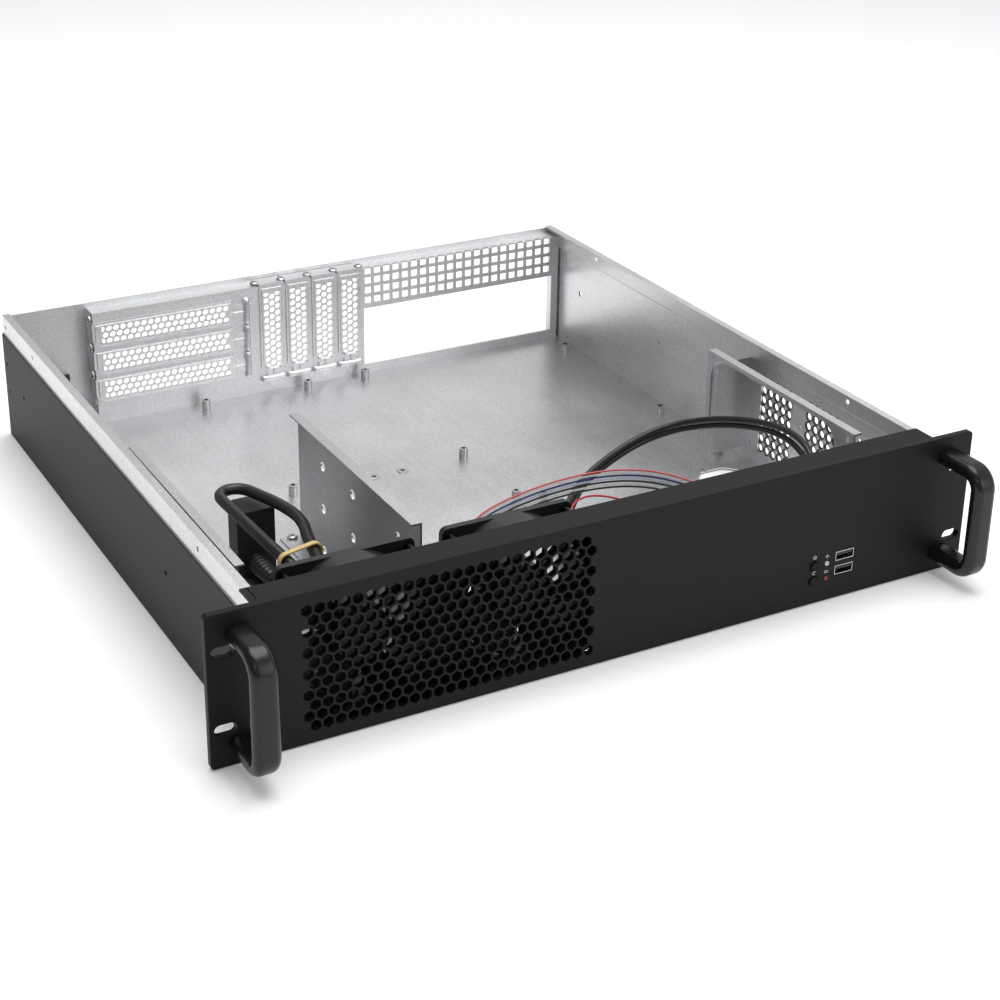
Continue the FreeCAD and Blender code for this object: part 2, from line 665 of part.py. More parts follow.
# Rear panel: one sheet folded in plan from the left outer part into the slot recess and back
# along the right wall, closed above by a ledge with a raised rim.

rear_plan = new_body("rear fold")
put(rear_plan, z="sheet")
rear_outline = new_sketch(rear_plan, "rear plan", "XY_Plane")
corners(rear_outline, [
    ("-strip_in", "rear - sheet"),
    ("lying_left", "rear - sheet"),
    ("lying_left", "slot_face"),
    ("strip_in", "slot_face"),
    ("strip_in", "rear"),
    ("strip_in - sheet", "rear"),
    ("strip_in - sheet", "slot_face + sheet"),
    ("lying_left + sheet", "slot_face + sheet"),
    ("lying_left + sheet", "rear"),
    ("-strip_in", "rear"),
])
pad(rear_plan, rear_outline, "recess_top - sheet")
rear_folded = fuse("rear folded", [
    rear_plan,
    block("recess ledge", ("lying_left", "strip_in"), ("slot_face", "rear"), ("recess_top - sheet", "recess_top")),
    block("rear rim", ("lying_left", "strip_in"), ("rear - sheet", "rear"),
          ("recess_top - sheet", "case_height - sheet")),
    block("left top", ("-strip_in", "lying_left + sheet"), ("rear - sheet", "rear"),
          ("recess_top - sheet", "case_height - sheet")),
])
THROUGH_FACE = ("slot_face - 1", "slot_face + sheet + 0.6")
rear_cuts = [
    block("port plate opening", ("port_left", "port_right"), THROUGH_FACE,
          ("port_plate_low", "port_plate_low + port_plate_high")),
    block("inlet opening", ("inlet_x - inlet_wide / 2", "inlet_x + inlet_wide / 2"), ("rear - sheet - 1", "rear + 1"),
          ("inlet_height - inlet_high / 2", "inlet_height + inlet_high / 2")),
]
for number in range(4):
    middle = "upright_first - %d * slot_pitch" % number
    rear_cuts.append(block("upright slot", (middle + " - slot_open / 2", middle + " + slot_open / 2"),
                           THROUGH_FACE, ("upright_low + 2", "recess_top - 6")))
for number in range(3):
    middle = "lying_first + %d * slot_pitch" % number
    rear_cuts.append(block("lying slot", ("lying_left + 6", "lying_right - 3"), THROUGH_FACE,
                           (middle + " - slot_open / 2", middle + " + slot_open / 2")))
for number in range(5):
    rear_cuts.append(rod("cover screw hole", "fan_screw / 2", "z", ("recess_top - sheet - 1", "recess_top + 1"),
                         "upright_first + slot_pitch - slot_screw_shift - %d * slot_pitch" % number,
                         "slot_face + 4"))
for number in range(4):
    rear_cuts.append(rod("cover screw hole", "fan_screw / 2", "x", ("lying_left - 1", "lying_left + sheet + 1"),
                         "slot_face + 4", "lying_first + slot_screw_shift + (%d - 1) * slot_pitch" % number))
doc.recompute()
square = value("grid_hole")
square_holes = []
for column in range(int(value("grid_columns"))):
    for row in range(int(value("grid_rows"))):
        x = value("port_left") + 3.5 + column * value("grid_pitch")
        z = value("grid_low") + row * value("grid_pitch")
        square_holes.append(Part.makeBox(square, value("sheet") + 2, square,
                                         Vector(x - square / 2, value("slot_face") - 0.6, z - square / 2)))
rear_cuts.append(made("square holes", Part.makeCompound(square_holes)))
rear_open = cut("rear opened", rear_folded, rear_cuts)
bridges = []
BRIDGE_Y = ("slot_face - thin_sheet - 2 * seat_gap - 1", "slot_face + 0.5")
UNDER_BRIDGE_Y = ("slot_face - thin_sheet - 2 * seat_gap", "slot_face")
for number in range(3):
    middle = "lying_first + %d * slot_pitch" % number
    x = ("lying_right + 5.5", "lying_right + 8.5")
    bridges.append(cut("lying bridge", block("strap", x, BRIDGE_Y, (middle + " - 8", middle + " + 8")), [
        block("under strap", ("lying_right", "lying_right + 14"), UNDER_BRIDGE_Y, (middle + " - 6", middle + " + 6"))]))
for number in range(4):
    middle = "upright_first - %d * slot_pitch" % number
    z = ("upright_low - 6.5", "upright_low - 3.5")
    bridges.append(cut("upright bridge", block("strap", (middle + " - 8", middle + " + 8"), BRIDGE_Y, z), [
        block("under strap", (middle + " - 6", middle + " + 6"), UNDER_BRIDGE_Y, ("0", "upright_low"))]))
rear_panel = fuse("rear_panel", [rear_open] + bridges)

# Slot covers: a flat plate inside the slot face, its screw tab bent back over the recess and
# a narrow tongue at the other end that sits under a lanced bridge.

covers = []
for number in range(3):
    label = "slot_cover_lying_%d" % (number + 1)
    cover = new_body(label + " plate")
    put(cover, y="slot_face", z="lying_first + %d * slot_pitch" % number)
    shape = new_sketch(cover, label + " shape", "XZ_Plane")
    corners(shape, [
        ("lying_left - thin_sheet", "cover_wide / 2"),
        ("lying_left - thin_sheet", "5 - cover_wide / 2"),
        ("lying_left - thin_sheet + 5", "-cover_wide / 2"),
        ("lying_right - 4", "-cover_wide / 2"),
        ("lying_right", "-5"),
        ("lying_right + lying_tongue", "-5"),
        ("lying_right + lying_tongue", "5"),
        ("lying_right", "5"),
        ("lying_right - 4", "cover_wide / 2"),
    ])
    pad(cover, shape, "thin_sheet")
    middle = "lying_first + %d * slot_pitch" % number
    tab = block("tab", ("lying_left - thin_sheet", "lying_left"), ("slot_face - thin_sheet", "rear - sheet - 1"),
                (middle + " - cover_wide / 2 + 5", middle + " + cover_wide / 2 + 0.7"))
    notch = rod("tab notch", "fan_screw / 2 + bolt_slack", "x", ("lying_left - thin_sheet - 1", "lying_left + 1"),
                "slot_face + 4", middle + " + slot_screw_shift")
    covers.append(cut(label, fuse(label + " bent", [cover, tab]), [notch]))
for number in range(4):
    label = "slot_cover_upright_%d" % (number + 1)
    middle = "upright_first - %d * slot_pitch" % number
    cover = new_body(label + " plate")
    put(cover, x=middle, y="slot_face")
    shape = new_sketch(cover, label + " shape", "XZ_Plane")
    corners(shape, [
        ("-cover_wide / 2", "recess_top + thin_sheet"),
        ("-cover_wide / 2", "upright_low + 4"),
        ("-5", "upright_low"),
        ("-5", "upright_tongue + 4"),
        ("-2", "upright_tongue"),
        ("5", "upright_tongue"),
        ("5", "upright_low"),
        ("cover_wide / 2", "upright_low + 4"),
        ("cover_wide / 2", "recess_top + thin_sheet"),
    ])
    pad(cover, shape, "thin_sheet")
    tab = block("tab", (middle + " - cover_wide / 2 - 0.7", middle + " + cover_wide / 2"),
                ("slot_face - thin_sheet", "rear - sheet - 1"), ("recess_top", "recess_top + thin_sheet"))
    notches = [rod("tab notch", "fan_screw / 2 + bolt_slack", "z", ("recess_top - 1", "recess_top + thin_sheet + 1"),
                   middle + shift, "slot_face + 4") for shift in (" - slot_screw_shift", " + slot_pitch - slot_screw_shift")]
    covers.append(cut(label, fuse(label + " bent", [cover, tab]), notches))

slot_screw = plain_screw("slot screw", "fan_screw / 2 - bolt_slack", "thin_sheet + sheet + 3", "3.2", "1.5")
slot_screws = scattered("slot_screws", slot_screw, [
    Vector(value("upright_first") - value("slot_screw_shift") - number * value("slot_pitch"),
           value("slot_face") + 4, value("recess_top") + value("thin_sheet"))
    for number in range(-1, 4)])
side_screws = scattered("cover_side_screws", slot_screw, [
    Vector(value("lying_left") - value("thin_sheet"), value("slot_face") + 4,
           value("lying_first") + value("slot_screw_shift") + number * value("slot_pitch"))
    for number in range(3)], Rotation(Vector(0, 1, 0), -90))

# Mains inlet: a socket snapped into the left part of the rear from inside, its three blades
# in an open mouth.

inlet_box = fuse("inlet body", [
    block("inlet core", ("inlet_x - inlet_wide / 2 + seat_gap / 2", "inlet_x + inlet_wide / 2 - seat_gap / 2"),
          ("rear - inlet_deep", "rear"),
          ("inlet_height - inlet_high / 2 + seat_gap / 2", "inlet_height + inlet_high / 2 - seat_gap / 2")),
    block("inlet collar", ("inlet_x - inlet_wide / 2 - 2", "inlet_x + inlet_wide / 2 + 2"),
          ("rear - sheet - 2", "rear - sheet"),
          ("inlet_height - inlet_high / 2 - 2", "inlet_height + inlet_high / 2 + 2")),
])
inlet_blades = [
    block("inlet blade", ("inlet_x + %s - 1" % across, "inlet_x + %s + 1" % across),
          ("rear - inlet_deep + 3", "rear - 2"),
          ("inlet_height + %s - 2" % up, "inlet_height + %s + 2" % up))
    for across, up in (("-7", "-1.5"), ("0", "2.5"), ("7", "-1.5"))]
inlet_hollow = cut("inlet hollow", inlet_box, [
    block("inlet mouth", ("inlet_x - inlet_wide / 2 + 2", "inlet_x + inlet_wide / 2 - 2"),
          ("rear - inlet_deep + 5", "rear + 1"),
          ("inlet_height - inlet_high / 2 + 2", "inlet_height + inlet_high / 2 - 2"))])
inlet_socket = fuse("inlet_socket", [inlet_hollow] + inlet_blades)

# Standoffs for the main board, and the two flush nuts beside them.

standoff = turned("standoff", "XZ_Plane", [
    ("standoff_bore / 2", "0"),
    ("standoff_round / 2", "0"),
    ("standoff_round / 2", "standoff_high"),
    ("standoff_bore / 2", "standoff_high"),
])
spots = [("column_a", value("row_rear") - value("board_row_drop")), ("column_a", value("row_middle")),
         ("column_a", value("row_front")), ("column_b", value("row_rear")), ("column_b", value("row_middle")),
         ("column_b", value("row_front")), ("column_c", value("row_rear")), ("column_c", value("row_middle")),
         ("column_c", value("row_front")), ("column_d", value("row_rear"))]
standoff_spots = [Vector(value(column), y, value("sheet")) for column, y in spots]
standoff_spots.append(Vector(value("column_b") + 14.3, value("row_front") - 10.8, value("sheet")))
board_standoffs = scattered("board_standoffs", standoff, standoff_spots)

flush_nut = turned("flush nut", "XZ_Plane", [
    ("standoff_bore / 2", "0"), ("4", "0"), ("4", "0.5"), ("standoff_bore / 2", "0.5")])
flush_nuts = scattered("flush_nuts", flush_nut, [
    Vector(value("column_d"), value("row_middle"), value("sheet")),
    Vector(value("column_d") - 20.9, value("row_middle"), value("sheet"))])

# Drive cage: an upright rail by the left wall and a divider, both with rows of round holes
# for the drives' cushions, a flange along the top and a foot screwed to the floor.

BAY_Y = ("bay_y", "bay_y + bay_long")
DRIVE_ROWS = ["drive_hole_low + %d * drive_rise" % number for number in range(3)]
bay_pieces = []
for label, plate, flange, foot in (
        ("bay_rail", ("rail_x", "rail_x + thin_sheet"), ("rail_x", "rail_x + thin_sheet + bay_flange - 1"),
         ("rail_x - bay_side + seat_gap", "rail_x + thin_sheet")),
        ("bay_divider", ("divider_x", "divider_x + thin_sheet"), ("divider_x - bay_flange", "divider_x + thin_sheet"),
         ("divider_x - bay_foot", "divider_x + thin_sheet"))):
    folded = fuse(label + " folded", [
        block("upright", plate, BAY_Y, ("sheet", "bay_top")),
        block("top flange", flange, BAY_Y, ("bay_top - thin_sheet", "bay_top")),
        block("foot", foot, BAY_Y, ("sheet", "sheet + thin_sheet")),
    ])
    holes = [rod("drive hole", "drive_hole / 2", "x", (plate[0] + " - 1", plate[1] + " + 1"),
                 "face + " + along, up)
             for along in ("drive_hole_front", "drive_hole_middle", "drive_hole_rear") for up in DRIVE_ROWS]
    screw_x = "divider_x - bay_foot / 2" if label == "bay_divider" else "rail_x - bay_side / 2"
    holes += [rod("foot hole", "fan_screw / 2 + bolt_slack", "z", ("sheet - 1", "sheet + 2 * thin_sheet"),
                  screw_x, along) for along in ("bay_y + bay_long - 3", "bay_y + 6")]
    bay_pieces.append(cut(label, folded, holes))

# Mount of the power supply: a plate cut to an arch with a rolled top flange, and a cross
# plate that ties its rear leg to the right wall.

arch = new_body("supply arch")
put(arch, x="plate_x")
arch_outline = new_sketch(arch, "supply arch outline", "YZ_Plane")
ARCH_Y = ("plate_y + supply_leg", "plate_y + supply_long - supply_rear_leg")
ARCH_TOP = "plate_top - supply_beam"
corners(arch_outline, [
    ("plate_y", "sheet"), (ARCH_Y[0], "sheet"), (ARCH_Y[0], ARCH_TOP), (ARCH_Y[1], ARCH_TOP), (ARCH_Y[1], "sheet"),
    ("plate_y + supply_long", "sheet"), ("plate_y + supply_long", "plate_top"), ("plate_y", "plate_top"),
])
arch_pad = pad(arch, arch_outline, "thin_sheet")
doc.recompute()
inner_corners = []
for number, edge in enumerate(arch_pad.Shape.Edges, 1):
    middle = edge.CenterOfMass
    if abs(edge.tangentAt(edge.FirstParameter).x) > 0.9 and sum(
            abs(middle.y - y) < 0.01 and abs(middle.z - value("plate_top") + value("supply_beam")) < 0.01
            for y in (value("plate_y") + value("supply_leg"),
                      value("plate_y") + value("supply_long") - value("supply_rear_leg"))):
        inner_corners.append("Edge%d" % number)
arch_round = arch.newObject("PartDesign::Fillet", "arch corners")
arch_round.Base = (arch_pad, inner_corners)
arch_round.setExpression("Radius", linked("supply_round"))
PLATE_OUT = "plate_x + thin_sheet"
supply_folded = fuse("supply folded", [
    arch,
    block("supply flange", ("plate_x", PLATE_OUT + " + supply_flange - 1"),
          ("plate_y", "plate_y + supply_long"), ("plate_top - thin_sheet", "plate_top")),
    block("supply foot", ("plate_x", PLATE_OUT + " + 10"), ("plate_y", "plate_y + supply_leg"),
          ("sheet", "sheet + thin_sheet")),
])
supply_plate = cut("supply_plate", supply_folded, [
    rod("supply hole", "2", "x", ("plate_x - 1", PLATE_OUT + " + 1"), "plate_y + 5.8", "plate_top - 5.2"),
    rod("supply hole", "1.2", "x", ("plate_x - 1", PLATE_OUT + " + 1"), "plate_y + supply_long - 6",
        "plate_top - 3"),
    rod("foot hole", "fan_screw / 2 + bolt_slack", "z", ("sheet - 1", "sheet + 2 * thin_sheet"),
        PLATE_OUT + " + 5", "plate_y + supply_leg / 2"),
])
BRACE_Z = ("brace_low", "brace_high")
supply_brace = cut("supply_brace", fuse("brace folded", [
    block("cross plate", (PLATE_OUT, "wall"), ("brace_y - thin_sheet", "brace_y"), BRACE_Z),
    block("leg flange", (PLATE_OUT, PLATE_OUT + " + thin_sheet"),
          ("brace_y - thin_sheet", "plate_y + supply_long"), BRACE_Z),
    block("wall flange", ("wall - thin_sheet", "wall"), ("brace_y - brace_lap", "brace_y"), BRACE_Z),
]), [
    rod("brace hole", "1.6", "x", ("wall - 2 * thin_sheet", "wall + 1"), "brace_y - brace_lap / 2", "brace_low + 6.5"),
    rod("brace relief", "1.5", "x", ("wall - 2 * thin_sheet", "wall + 1"), "brace_y - brace_lap", "brace_high"),
])

foot_screw = plain_screw("foot screw", "fan_screw / 2", "thin_sheet + 0.8 * sheet", "3.4", "1.8")
foot_spots = [
    (value("divider_x") - value("bay_foot") / 2, value("bay_y") + value("bay_long") - 3),
    (value("divider_x") - value("bay_foot") / 2, value("bay_y") + 6),
    (value("rail_x") - value("bay_side") / 2, value("bay_y") + value("bay_long") - 3),
    (value("rail_x") - value("bay_side") / 2, value("bay_y") + 6),
    (value("plate_x") + value("thin_sheet") + 5, value("plate_y") + value("supply_leg") / 2),
    (value("fan_left") - 35, value("fan_y") - value("sheet") - 5),
    (value("fan_right") + 35, value("fan_y") - value("sheet") - 5),
]
foot_screws = scattered("foot_screws", foot_screw, [
    Vector(x, y, value("sheet") + value("thin_sheet")) for x, y in foot_spots])

# Fans: a square frame with open corner lugs, spokes and a motor base at its rear, and a
# rotor whose shaft turns in the base.  Both frames are screwed to a wall behind the grille.

HALF_SCREWS = "fan_screws_pitch / 2"
fan_wall_x = ("fan_left - fan_wide / 2 - 4", "fan_right + fan_wide / 2 + 4")
fan_wall_holes = []
fan_spots = []
for middle in ("fan_left", "fan_right"):
    fan_wall_holes.append(rod("fan opening", "fan_bore / 2 - 0.5", "y", ("fan_y - sheet - 1", "fan_y + 1"), middle,
                              "fan_z"))
    for across in ("-", "+"):
        for up in ("-", "+"):
            fan_wall_holes.append(rod("fan screw hole", "fan_screw / 2 + bolt_slack", "y",
                                      ("fan_y - sheet - 1", "fan_y + 1"),
                                      "%s %s %s" % (middle, across, HALF_SCREWS), "fan_z %s %s" % (up, HALF_SCREWS)))
for x in ("fan_left - 35", "fan_right + 35"):
    fan_wall_holes.append(rod("foot hole", "fan_screw / 2 + bolt_slack", "z", ("sheet - 1", "sheet + 2 * sheet"),
                              x, "fan_y - sheet - 5"))
fan_wall = cut("fan_wall", fuse("fan wall folded", [
    block("fan wall upright", fan_wall_x, ("fan_y - sheet", "fan_y"), ("sheet", "case_height - sheet")),
    block("fan wall foot", fan_wall_x, ("back + sheet + 1", "fan_y"), ("sheet", "sheet + thin_sheet")),
    block("fan wall top", fan_wall_x, ("back + sheet + 1", "fan_y"), ("case_height - 2 * sheet", "case_height - sheet")),
]), fan_wall_holes)

frame = new_body("fan frame lugs")
front_lug = new_sketch(frame, "lug outline", "XZ_Plane")
corners(front_lug, [("-fan_wide / 2", "-fan_wide / 2"), ("fan_wide / 2", "-fan_wide / 2"),
                    ("fan_wide / 2", "fan_wide / 2"), ("-fan_wide / 2", "fan_wide / 2")])
frame_pad = pad(frame, front_lug, "fan_deep", back=True)
doc.recompute()
frame_round = frame.newObject("PartDesign::Fillet", "frame corners")
frame_round.Base = (frame_pad, ["Edge%d" % (i + 1) for i, edge in enumerate(frame_pad.Shape.Edges)
                                if abs(edge.tangentAt(edge.FirstParameter).y) > 0.9])
frame_round.setExpression("Radius", linked("fan_lug"))
frame_holes = new_sketch(frame, "frame holes", "XZ_Plane")
circle(frame_holes, "0", "0", "fan_bore / 2")
for across in ("-", ""):
    for up in ("-", ""):
        circle(frame_holes, across + HALF_SCREWS, up + HALF_SCREWS, "fan_screw_hole / 2")
through(frame, frame_holes)
waist = cut("fan waist", block("waist block", ("-fan_wide", "fan_wide"), ("fan_lug", "fan_deep - fan_lug"),
                               ("-fan_wide", "fan_wide")),
            [rod("waist core", "fan_wide / 2 + 0.8", "y", ("0", "fan_deep"), "0", "0")])
base_y = ("fan_deep - 3", "fan_deep")
spokes = [rod("motor base", "fan_hub / 2", "y", base_y, "0", "0"),
          rod("bearing tube", "fan_shaft / 2 + 2.5", "y", ("fan_deep - 12", "fan_deep"), "0", "0")]
for number in range(4):
    spoke = block("spoke", ("fan_hub / 2 - 1", "fan_bore / 2 + 0.5"), base_y, ("-1.5", "1.5"))
    doc.recompute()
    arm = spoke.Shape.copy()
    arm.rotate(Vector(), Vector(0, 1, 0), 20 + 90 * number)
    spokes.append(made("turned spoke", arm))
fan_stator = cut("fan stator", fuse("fan stator solid", [cut("fan frame waisted", frame, [waist])] + spokes),
                 [rod("bearing", "fan_shaft / 2 + shaft_slack", "y", ("fan_deep - 13", "fan_deep - 1"), "0", "0")])

# A blade runs from the hub to the tip with its pitch easing outwards.
doc.recompute()


def blade_section(radius, chord, pitch):
    """One thin slanted blade section at a radius, seen along Z."""
    turn = Rotation(Vector(0, 0, 1), pitch)
    shape = [Vector(-chord / 2, -0.6, radius), Vector(chord / 2, -0.6, radius),
             Vector(chord / 2, 0.6, radius), Vector(-chord / 2, 0.6, radius)]
    return [turn.multVec(point) + Vector(0, 9.5, 0) for point in shape]


def blade_solid(sections):
    """A blade through its sections, each twisted side folded once so that its facets are flat."""
    faces = [Part.Face(Part.makePolygon(end + end[:1])) for end in (sections[0], sections[-1])]
    for inner, outer in zip(sections, sections[1:]):
        for corner in range(4):
            low, high = inner[corner], inner[(corner + 1) % 4]
            far_high, far_low = outer[(corner + 1) % 4], outer[corner]
            fold = (low, far_high) if corner < 2 else (high, far_low)
            for third in (high, far_low) if corner < 2 else (low, far_high):
                faces.append(Part.Face(Part.makePolygon([fold[0], fold[1], third, fold[0]])))
    solid = Part.Solid(Part.Shell(faces))
    if solid.Volume < 0:
        solid.reverse()
    return solid


hub_radius = value("fan_hub") / 2
tip_radius = value("fan_tip") / 2
blades = []
for number in range(7):
    blade = blade_solid([blade_section(hub_radius - 2, 15, 50),
                         blade_section((hub_radius + tip_radius + 2) / 2, 20.5, 40),
                         blade_section(tip_radius + 4, 26, 30)])
    blade.rotate(Vector(), Vector(0, 1, 0), 360 * number / 7)
    blades.append(blade)
tip_round = Part.makeCylinder(tip_radius, value("fan_deep"), Vector(), Vector(0, 1, 0))
blades = [blade.common(tip_round) for blade in blades]
rotor_blades = made("rotor blades", Part.makeCompound(blades))
hub = turned("rotor hub", "XY_Plane", [
    ("0", "1.5"), ("fan_hub / 2 - 2", "1.5"), ("fan_hub / 2", "3"), ("fan_hub / 2", "fan_deep - 3.5"),
    ("fan_hub / 2 - 1.5", "fan_deep - 3.5"), ("fan_hub / 2 - 1.5", "3.5"), ("fan_shaft / 2", "3.5"),
    ("fan_shaft / 2", "fan_deep - 2"), ("0", "fan_deep - 2"),
])
rotor = fuse("rotor", [hub, rotor_blades])

fan_screw_piece = plain_screw("fan screw", "fan_screw / 2", "fan_deep + sheet + 1.5", "3.6", "2")
fans = []
screw_spots = []
for side, middle in (("left", "fan_left"), ("right", "fan_right")):
    spot = Vector(value(middle), value("fan_y"), value("fan_z"))
    fans.append(scattered("fan_frame_" + side, fan_stator, [spot]))
    fans.append(scattered("fan_rotor_" + side, rotor, [spot]))
    for across in (-1, 1):
        for up in (-1, 1):
            screw_spots.append(Vector(value(middle) + across * value("fan_screws_pitch") / 2, value("fan_back"),
                                      value("fan_z") + up * value("fan_screws_pitch") / 2))
fan_screws = scattered("fan_screws", fan_screw_piece, screw_spots, Rotation(Vector(1, 0, 0), -90))

# Front controls: a small board behind the panel on two studs, with two switches, two light
# pipes and two ports, and the two buttons that the panel's holes guide.

control_board = block("control_board", ("button_place - 7", "port_place + 8"), ("board_y", "board_back"),
                      ("button_lower - 7", "port_upper + 4.6"))
board_studs = group("board_studs", [
    rod("stud", "2", "y", ("back + sheet", "board_y"), x, z)
    for x, z in (("button_place - 9.7", "port_upper + 3"), ("port_place + 10.6", "button_lower - 5"))])
board_bracket = cut("board_bracket", fuse("bracket plate", [
    block("bracket bar", ("button_place - 12.7", "button_place - 7"), ("board_y", "board_back"),
          ("port_upper", "port_upper + 4.6")),
    block("bracket bar", ("port_place + 8", "port_place + 13.6"), ("board_y", "board_back"),
          ("button_lower - 7", "button_lower - 2.4")),
]), [rod("bracket screw", "0.8", "y", ("board_y - 1", "board_back + 1"), x, z)
     for x, z in (("button_place - 9.7", "port_upper + 3"), ("port_place + 10.6", "button_lower - 5"))])
BUTTON_END = "back + seat_gap + 1 + 2.4"
switches = []
for height in ("button_upper", "button_lower"):
    switches.append(fuse("switch", [
        block("switch body", ("button_place - 3", "button_place + 3"), ("board_y - 3.2", "board_y"),
              (height + " - 3", height + " + 3")),
        rod("plunger", "1.6", "y", (BUTTON_END + " + button_travel + seat_gap", "board_y - 3"),
            "button_place", height)]))
button_switches = group("button_switches", switches)
button = turned("button", "XY_Plane", [
    ("0", "-button_proud"), ("button_round / 2 - 0.4", "-button_proud"), ("button_round / 2", "0.4 - button_proud"),
    ("button_round / 2", "panel_thick + seat_gap"), ("button_round / 2 + 1.1", "panel_thick + seat_gap"),
    ("button_round / 2 + 1.1", "panel_thick + seat_gap + 1"), ("1.4", "panel_thick + seat_gap + 1"),
    ("1.4", "panel_thick + seat_gap + 3.4"), ("0", "panel_thick + seat_gap + 3.4")])
buttons = [scattered(label, button, [Vector(value("button_place"), value("face"), value(height))])
           for label, height in (("power_button", "button_upper"), ("reset_button", "button_lower"))]
lights = [rod(label, "light_round / 2", "y", ("face - 0.4", "board_y"), "light_place", height)
          for label, height in (("power_light", "button_upper"), ("activity_light", "button_lower"))]
shells = []
tongues = []
for height in ("port_upper", "port_lower"):
    shells.append(cut("port shell", block(
        "shell solid", ("port_place - port_wide / 2", "port_place + port_wide / 2"), ("face + 0.3", "board_y"),
        (height + " - port_high / 2", height + " + port_high / 2")), [
            block("shell mouth", ("port_place - port_wide / 2 + 0.4", "port_place + port_wide / 2 - 0.4"),
                  ("face", "board_y - 3"), (height + " - port_high / 2 + 0.4", height + " + port_high / 2 - 0.4"))]))
    tongues.append(block("tongue", ("port_place - port_wide / 2 + 1", "port_place + port_wide / 2 - 1"),
                         ("face + 1", "board_y - 3"), (height + " + 0.1", height + " + 2.1")))
port_shells = group("port_shells", shells)
port_tongues = group("port_tongues", tongues)

# Cables.  Each runs along straight pieces joined by tangent arcs, from the face it leaves to
# the face it ends on; its points stay as laid.


def laid(x, y, z):
    """A point of a cable's route, its Y counted from the panel's face."""
    return Vector(x, value("face") + y, z)


def cable(label, diameter, points):
    """A cable along a route, its round section drawn with few flat sides of the same area."""
    edges = []
    start = points[0]
    radii = []
    for before, here, after in zip(points, points[1:], points[2:]):
        inward = here - before
        outward = after - here
        turn = inward.getAngle(outward)
        radius = 0.45 * min(inward.Length, outward.Length) / math.tan(turn / 2)
        setback = radius * math.tan(turn / 2)
        first = here - inward.normalize() * setback
        last = here + outward.normalize() * setback
        bisector = (outward - inward).normalize()
        centre = here + bisector * (radius / math.cos(turn / 2))
        edges.append(Part.LineSegment(start, first).toShape())
        edges.append(Part.Arc(first, centre - bisector * radius, last).toShape())
        start = last
        radii.append(radius)
    edges.append(Part.LineSegment(start, points[-1]).toShape())
    wire = Part.Wire(edges)
    sides = 8 if diameter < 2 else 12
    reach = diameter / 2 * math.sqrt(2 * math.pi / (sides * math.sin(2 * math.pi / sides)))
    across = Rotation(Vector(0, 0, 1), points[1] - points[0])
    rim = [points[0] + across.multVec(Vector(reach * math.cos(2 * math.pi * side / sides),
                                             reach * math.sin(2 * math.pi * side / sides), 0))
           for side in range(sides)]
    tube = wire.makePipeShell([Part.makePolygon(rim + rim[:1])], True, False)
    wanted = math.pi * diameter ** 2 / 4 * wire.Length
    print("%s: length %.1f, least radius %.1f (%.1f diameters), volume ratio %.4f" % (
        label, wire.Length, min(radii), min(radii) / diameter, tube.Volume / wanted))
    return made(label, tube)


mains = value("mains_cord")
inlet_back = value("case_depth") - value("inlet_deep")
power_cord = cable("power_cord", mains, [
    laid(value("inlet_x"), inlet_back, value("inlet_height")),
    laid(value("inlet_x"), inlet_back - 20, value("inlet_height")),
    laid(-188, 372, 16), laid(-190, 330, 6), laid(-192, 270, 5), laid(-187, 215, 5), laid(-189, 165, 6),
    laid(-184, 122, 10), laid(-183, 98, 16), laid(-176, 75, 25), laid(-163, 58, 34), laid(-146, 58, 40),
    laid(-139, 79, 44.2), laid(-133.5, 122, 48.5), laid(-127.5, 143, 50.5), laid(-131.5, 166, 51),
    laid(-137.5, 182, 51), laid(-142.5, 195.5, 51), laid(-152.3, 198.9, 51), laid(-160.3, 192.9, 51),
    laid(-159, 176, 50.5), laid(-156.8, 146, 49), laid(-149, 98, 43), laid(-141.5, 76, 31.5), laid(-129, 67, 19.5),
    laid(-118, 80, 10), laid(-115.5, 98, 6), laid(-119, 118, 6), laid(-127, 138, 8), laid(-143, 150, 10),
    laid(-143, 168, 10),
])
plug = new_body("cord plug body")
plug_shape = new_sketch(plug, "plug outline", "XY_Plane")
put(plug, x="-143", y="face + 187", z="sheet + seat_gap")
corners(plug_shape, [("-12", "-10"), ("12", "-10"), ("12", "4"), ("7", "10"), ("-7", "10"), ("-12", "4")])
pad(plug, plug_shape, "43")
cord_plug = fuse("cord_plug", [
    plug, rod("plug neck", "mains_cord / 2 + 1.5", "y", ("face + 168", "face + 178"), "-143", "10")])

# A rubber band holds the two strands of the coil together.
strand_left = laid(-151.2, 111, 44.6)
strand_right = laid(-134.9, 111, 47.4)
band_wide = 3.5
band_thick = 1.2
band_inner = mains / 2 + 2 * value("seat_gap")
band_span = (strand_right - strand_left).Length
band_lean = math.degrees(math.atan2(strand_right.z - strand_left.z, strand_right.x - strand_left.x))


def race_track(radius):
    """A flat loop round both strands, wide along the cord."""
    along = Vector(0, 1, 0)
    ends = Part.makeCylinder(radius, band_wide, Vector(), along).fuse(
        Part.makeCylinder(radius, band_wide, Vector(band_span, 0, 0), along))
    return ends.fuse(Part.makeBox(band_span, band_wide, 2 * radius, Vector(0, 0, -radius))).removeSplitter()


band_shape = race_track(band_inner + band_thick).cut(race_track(band_inner))
band_shape.rotate(Vector(), Vector(0, 1, 0), -band_lean)
band_shape.translate(strand_left - Vector(0, band_wide / 2, 0))
cord_band = made("cord_band", band_shape)

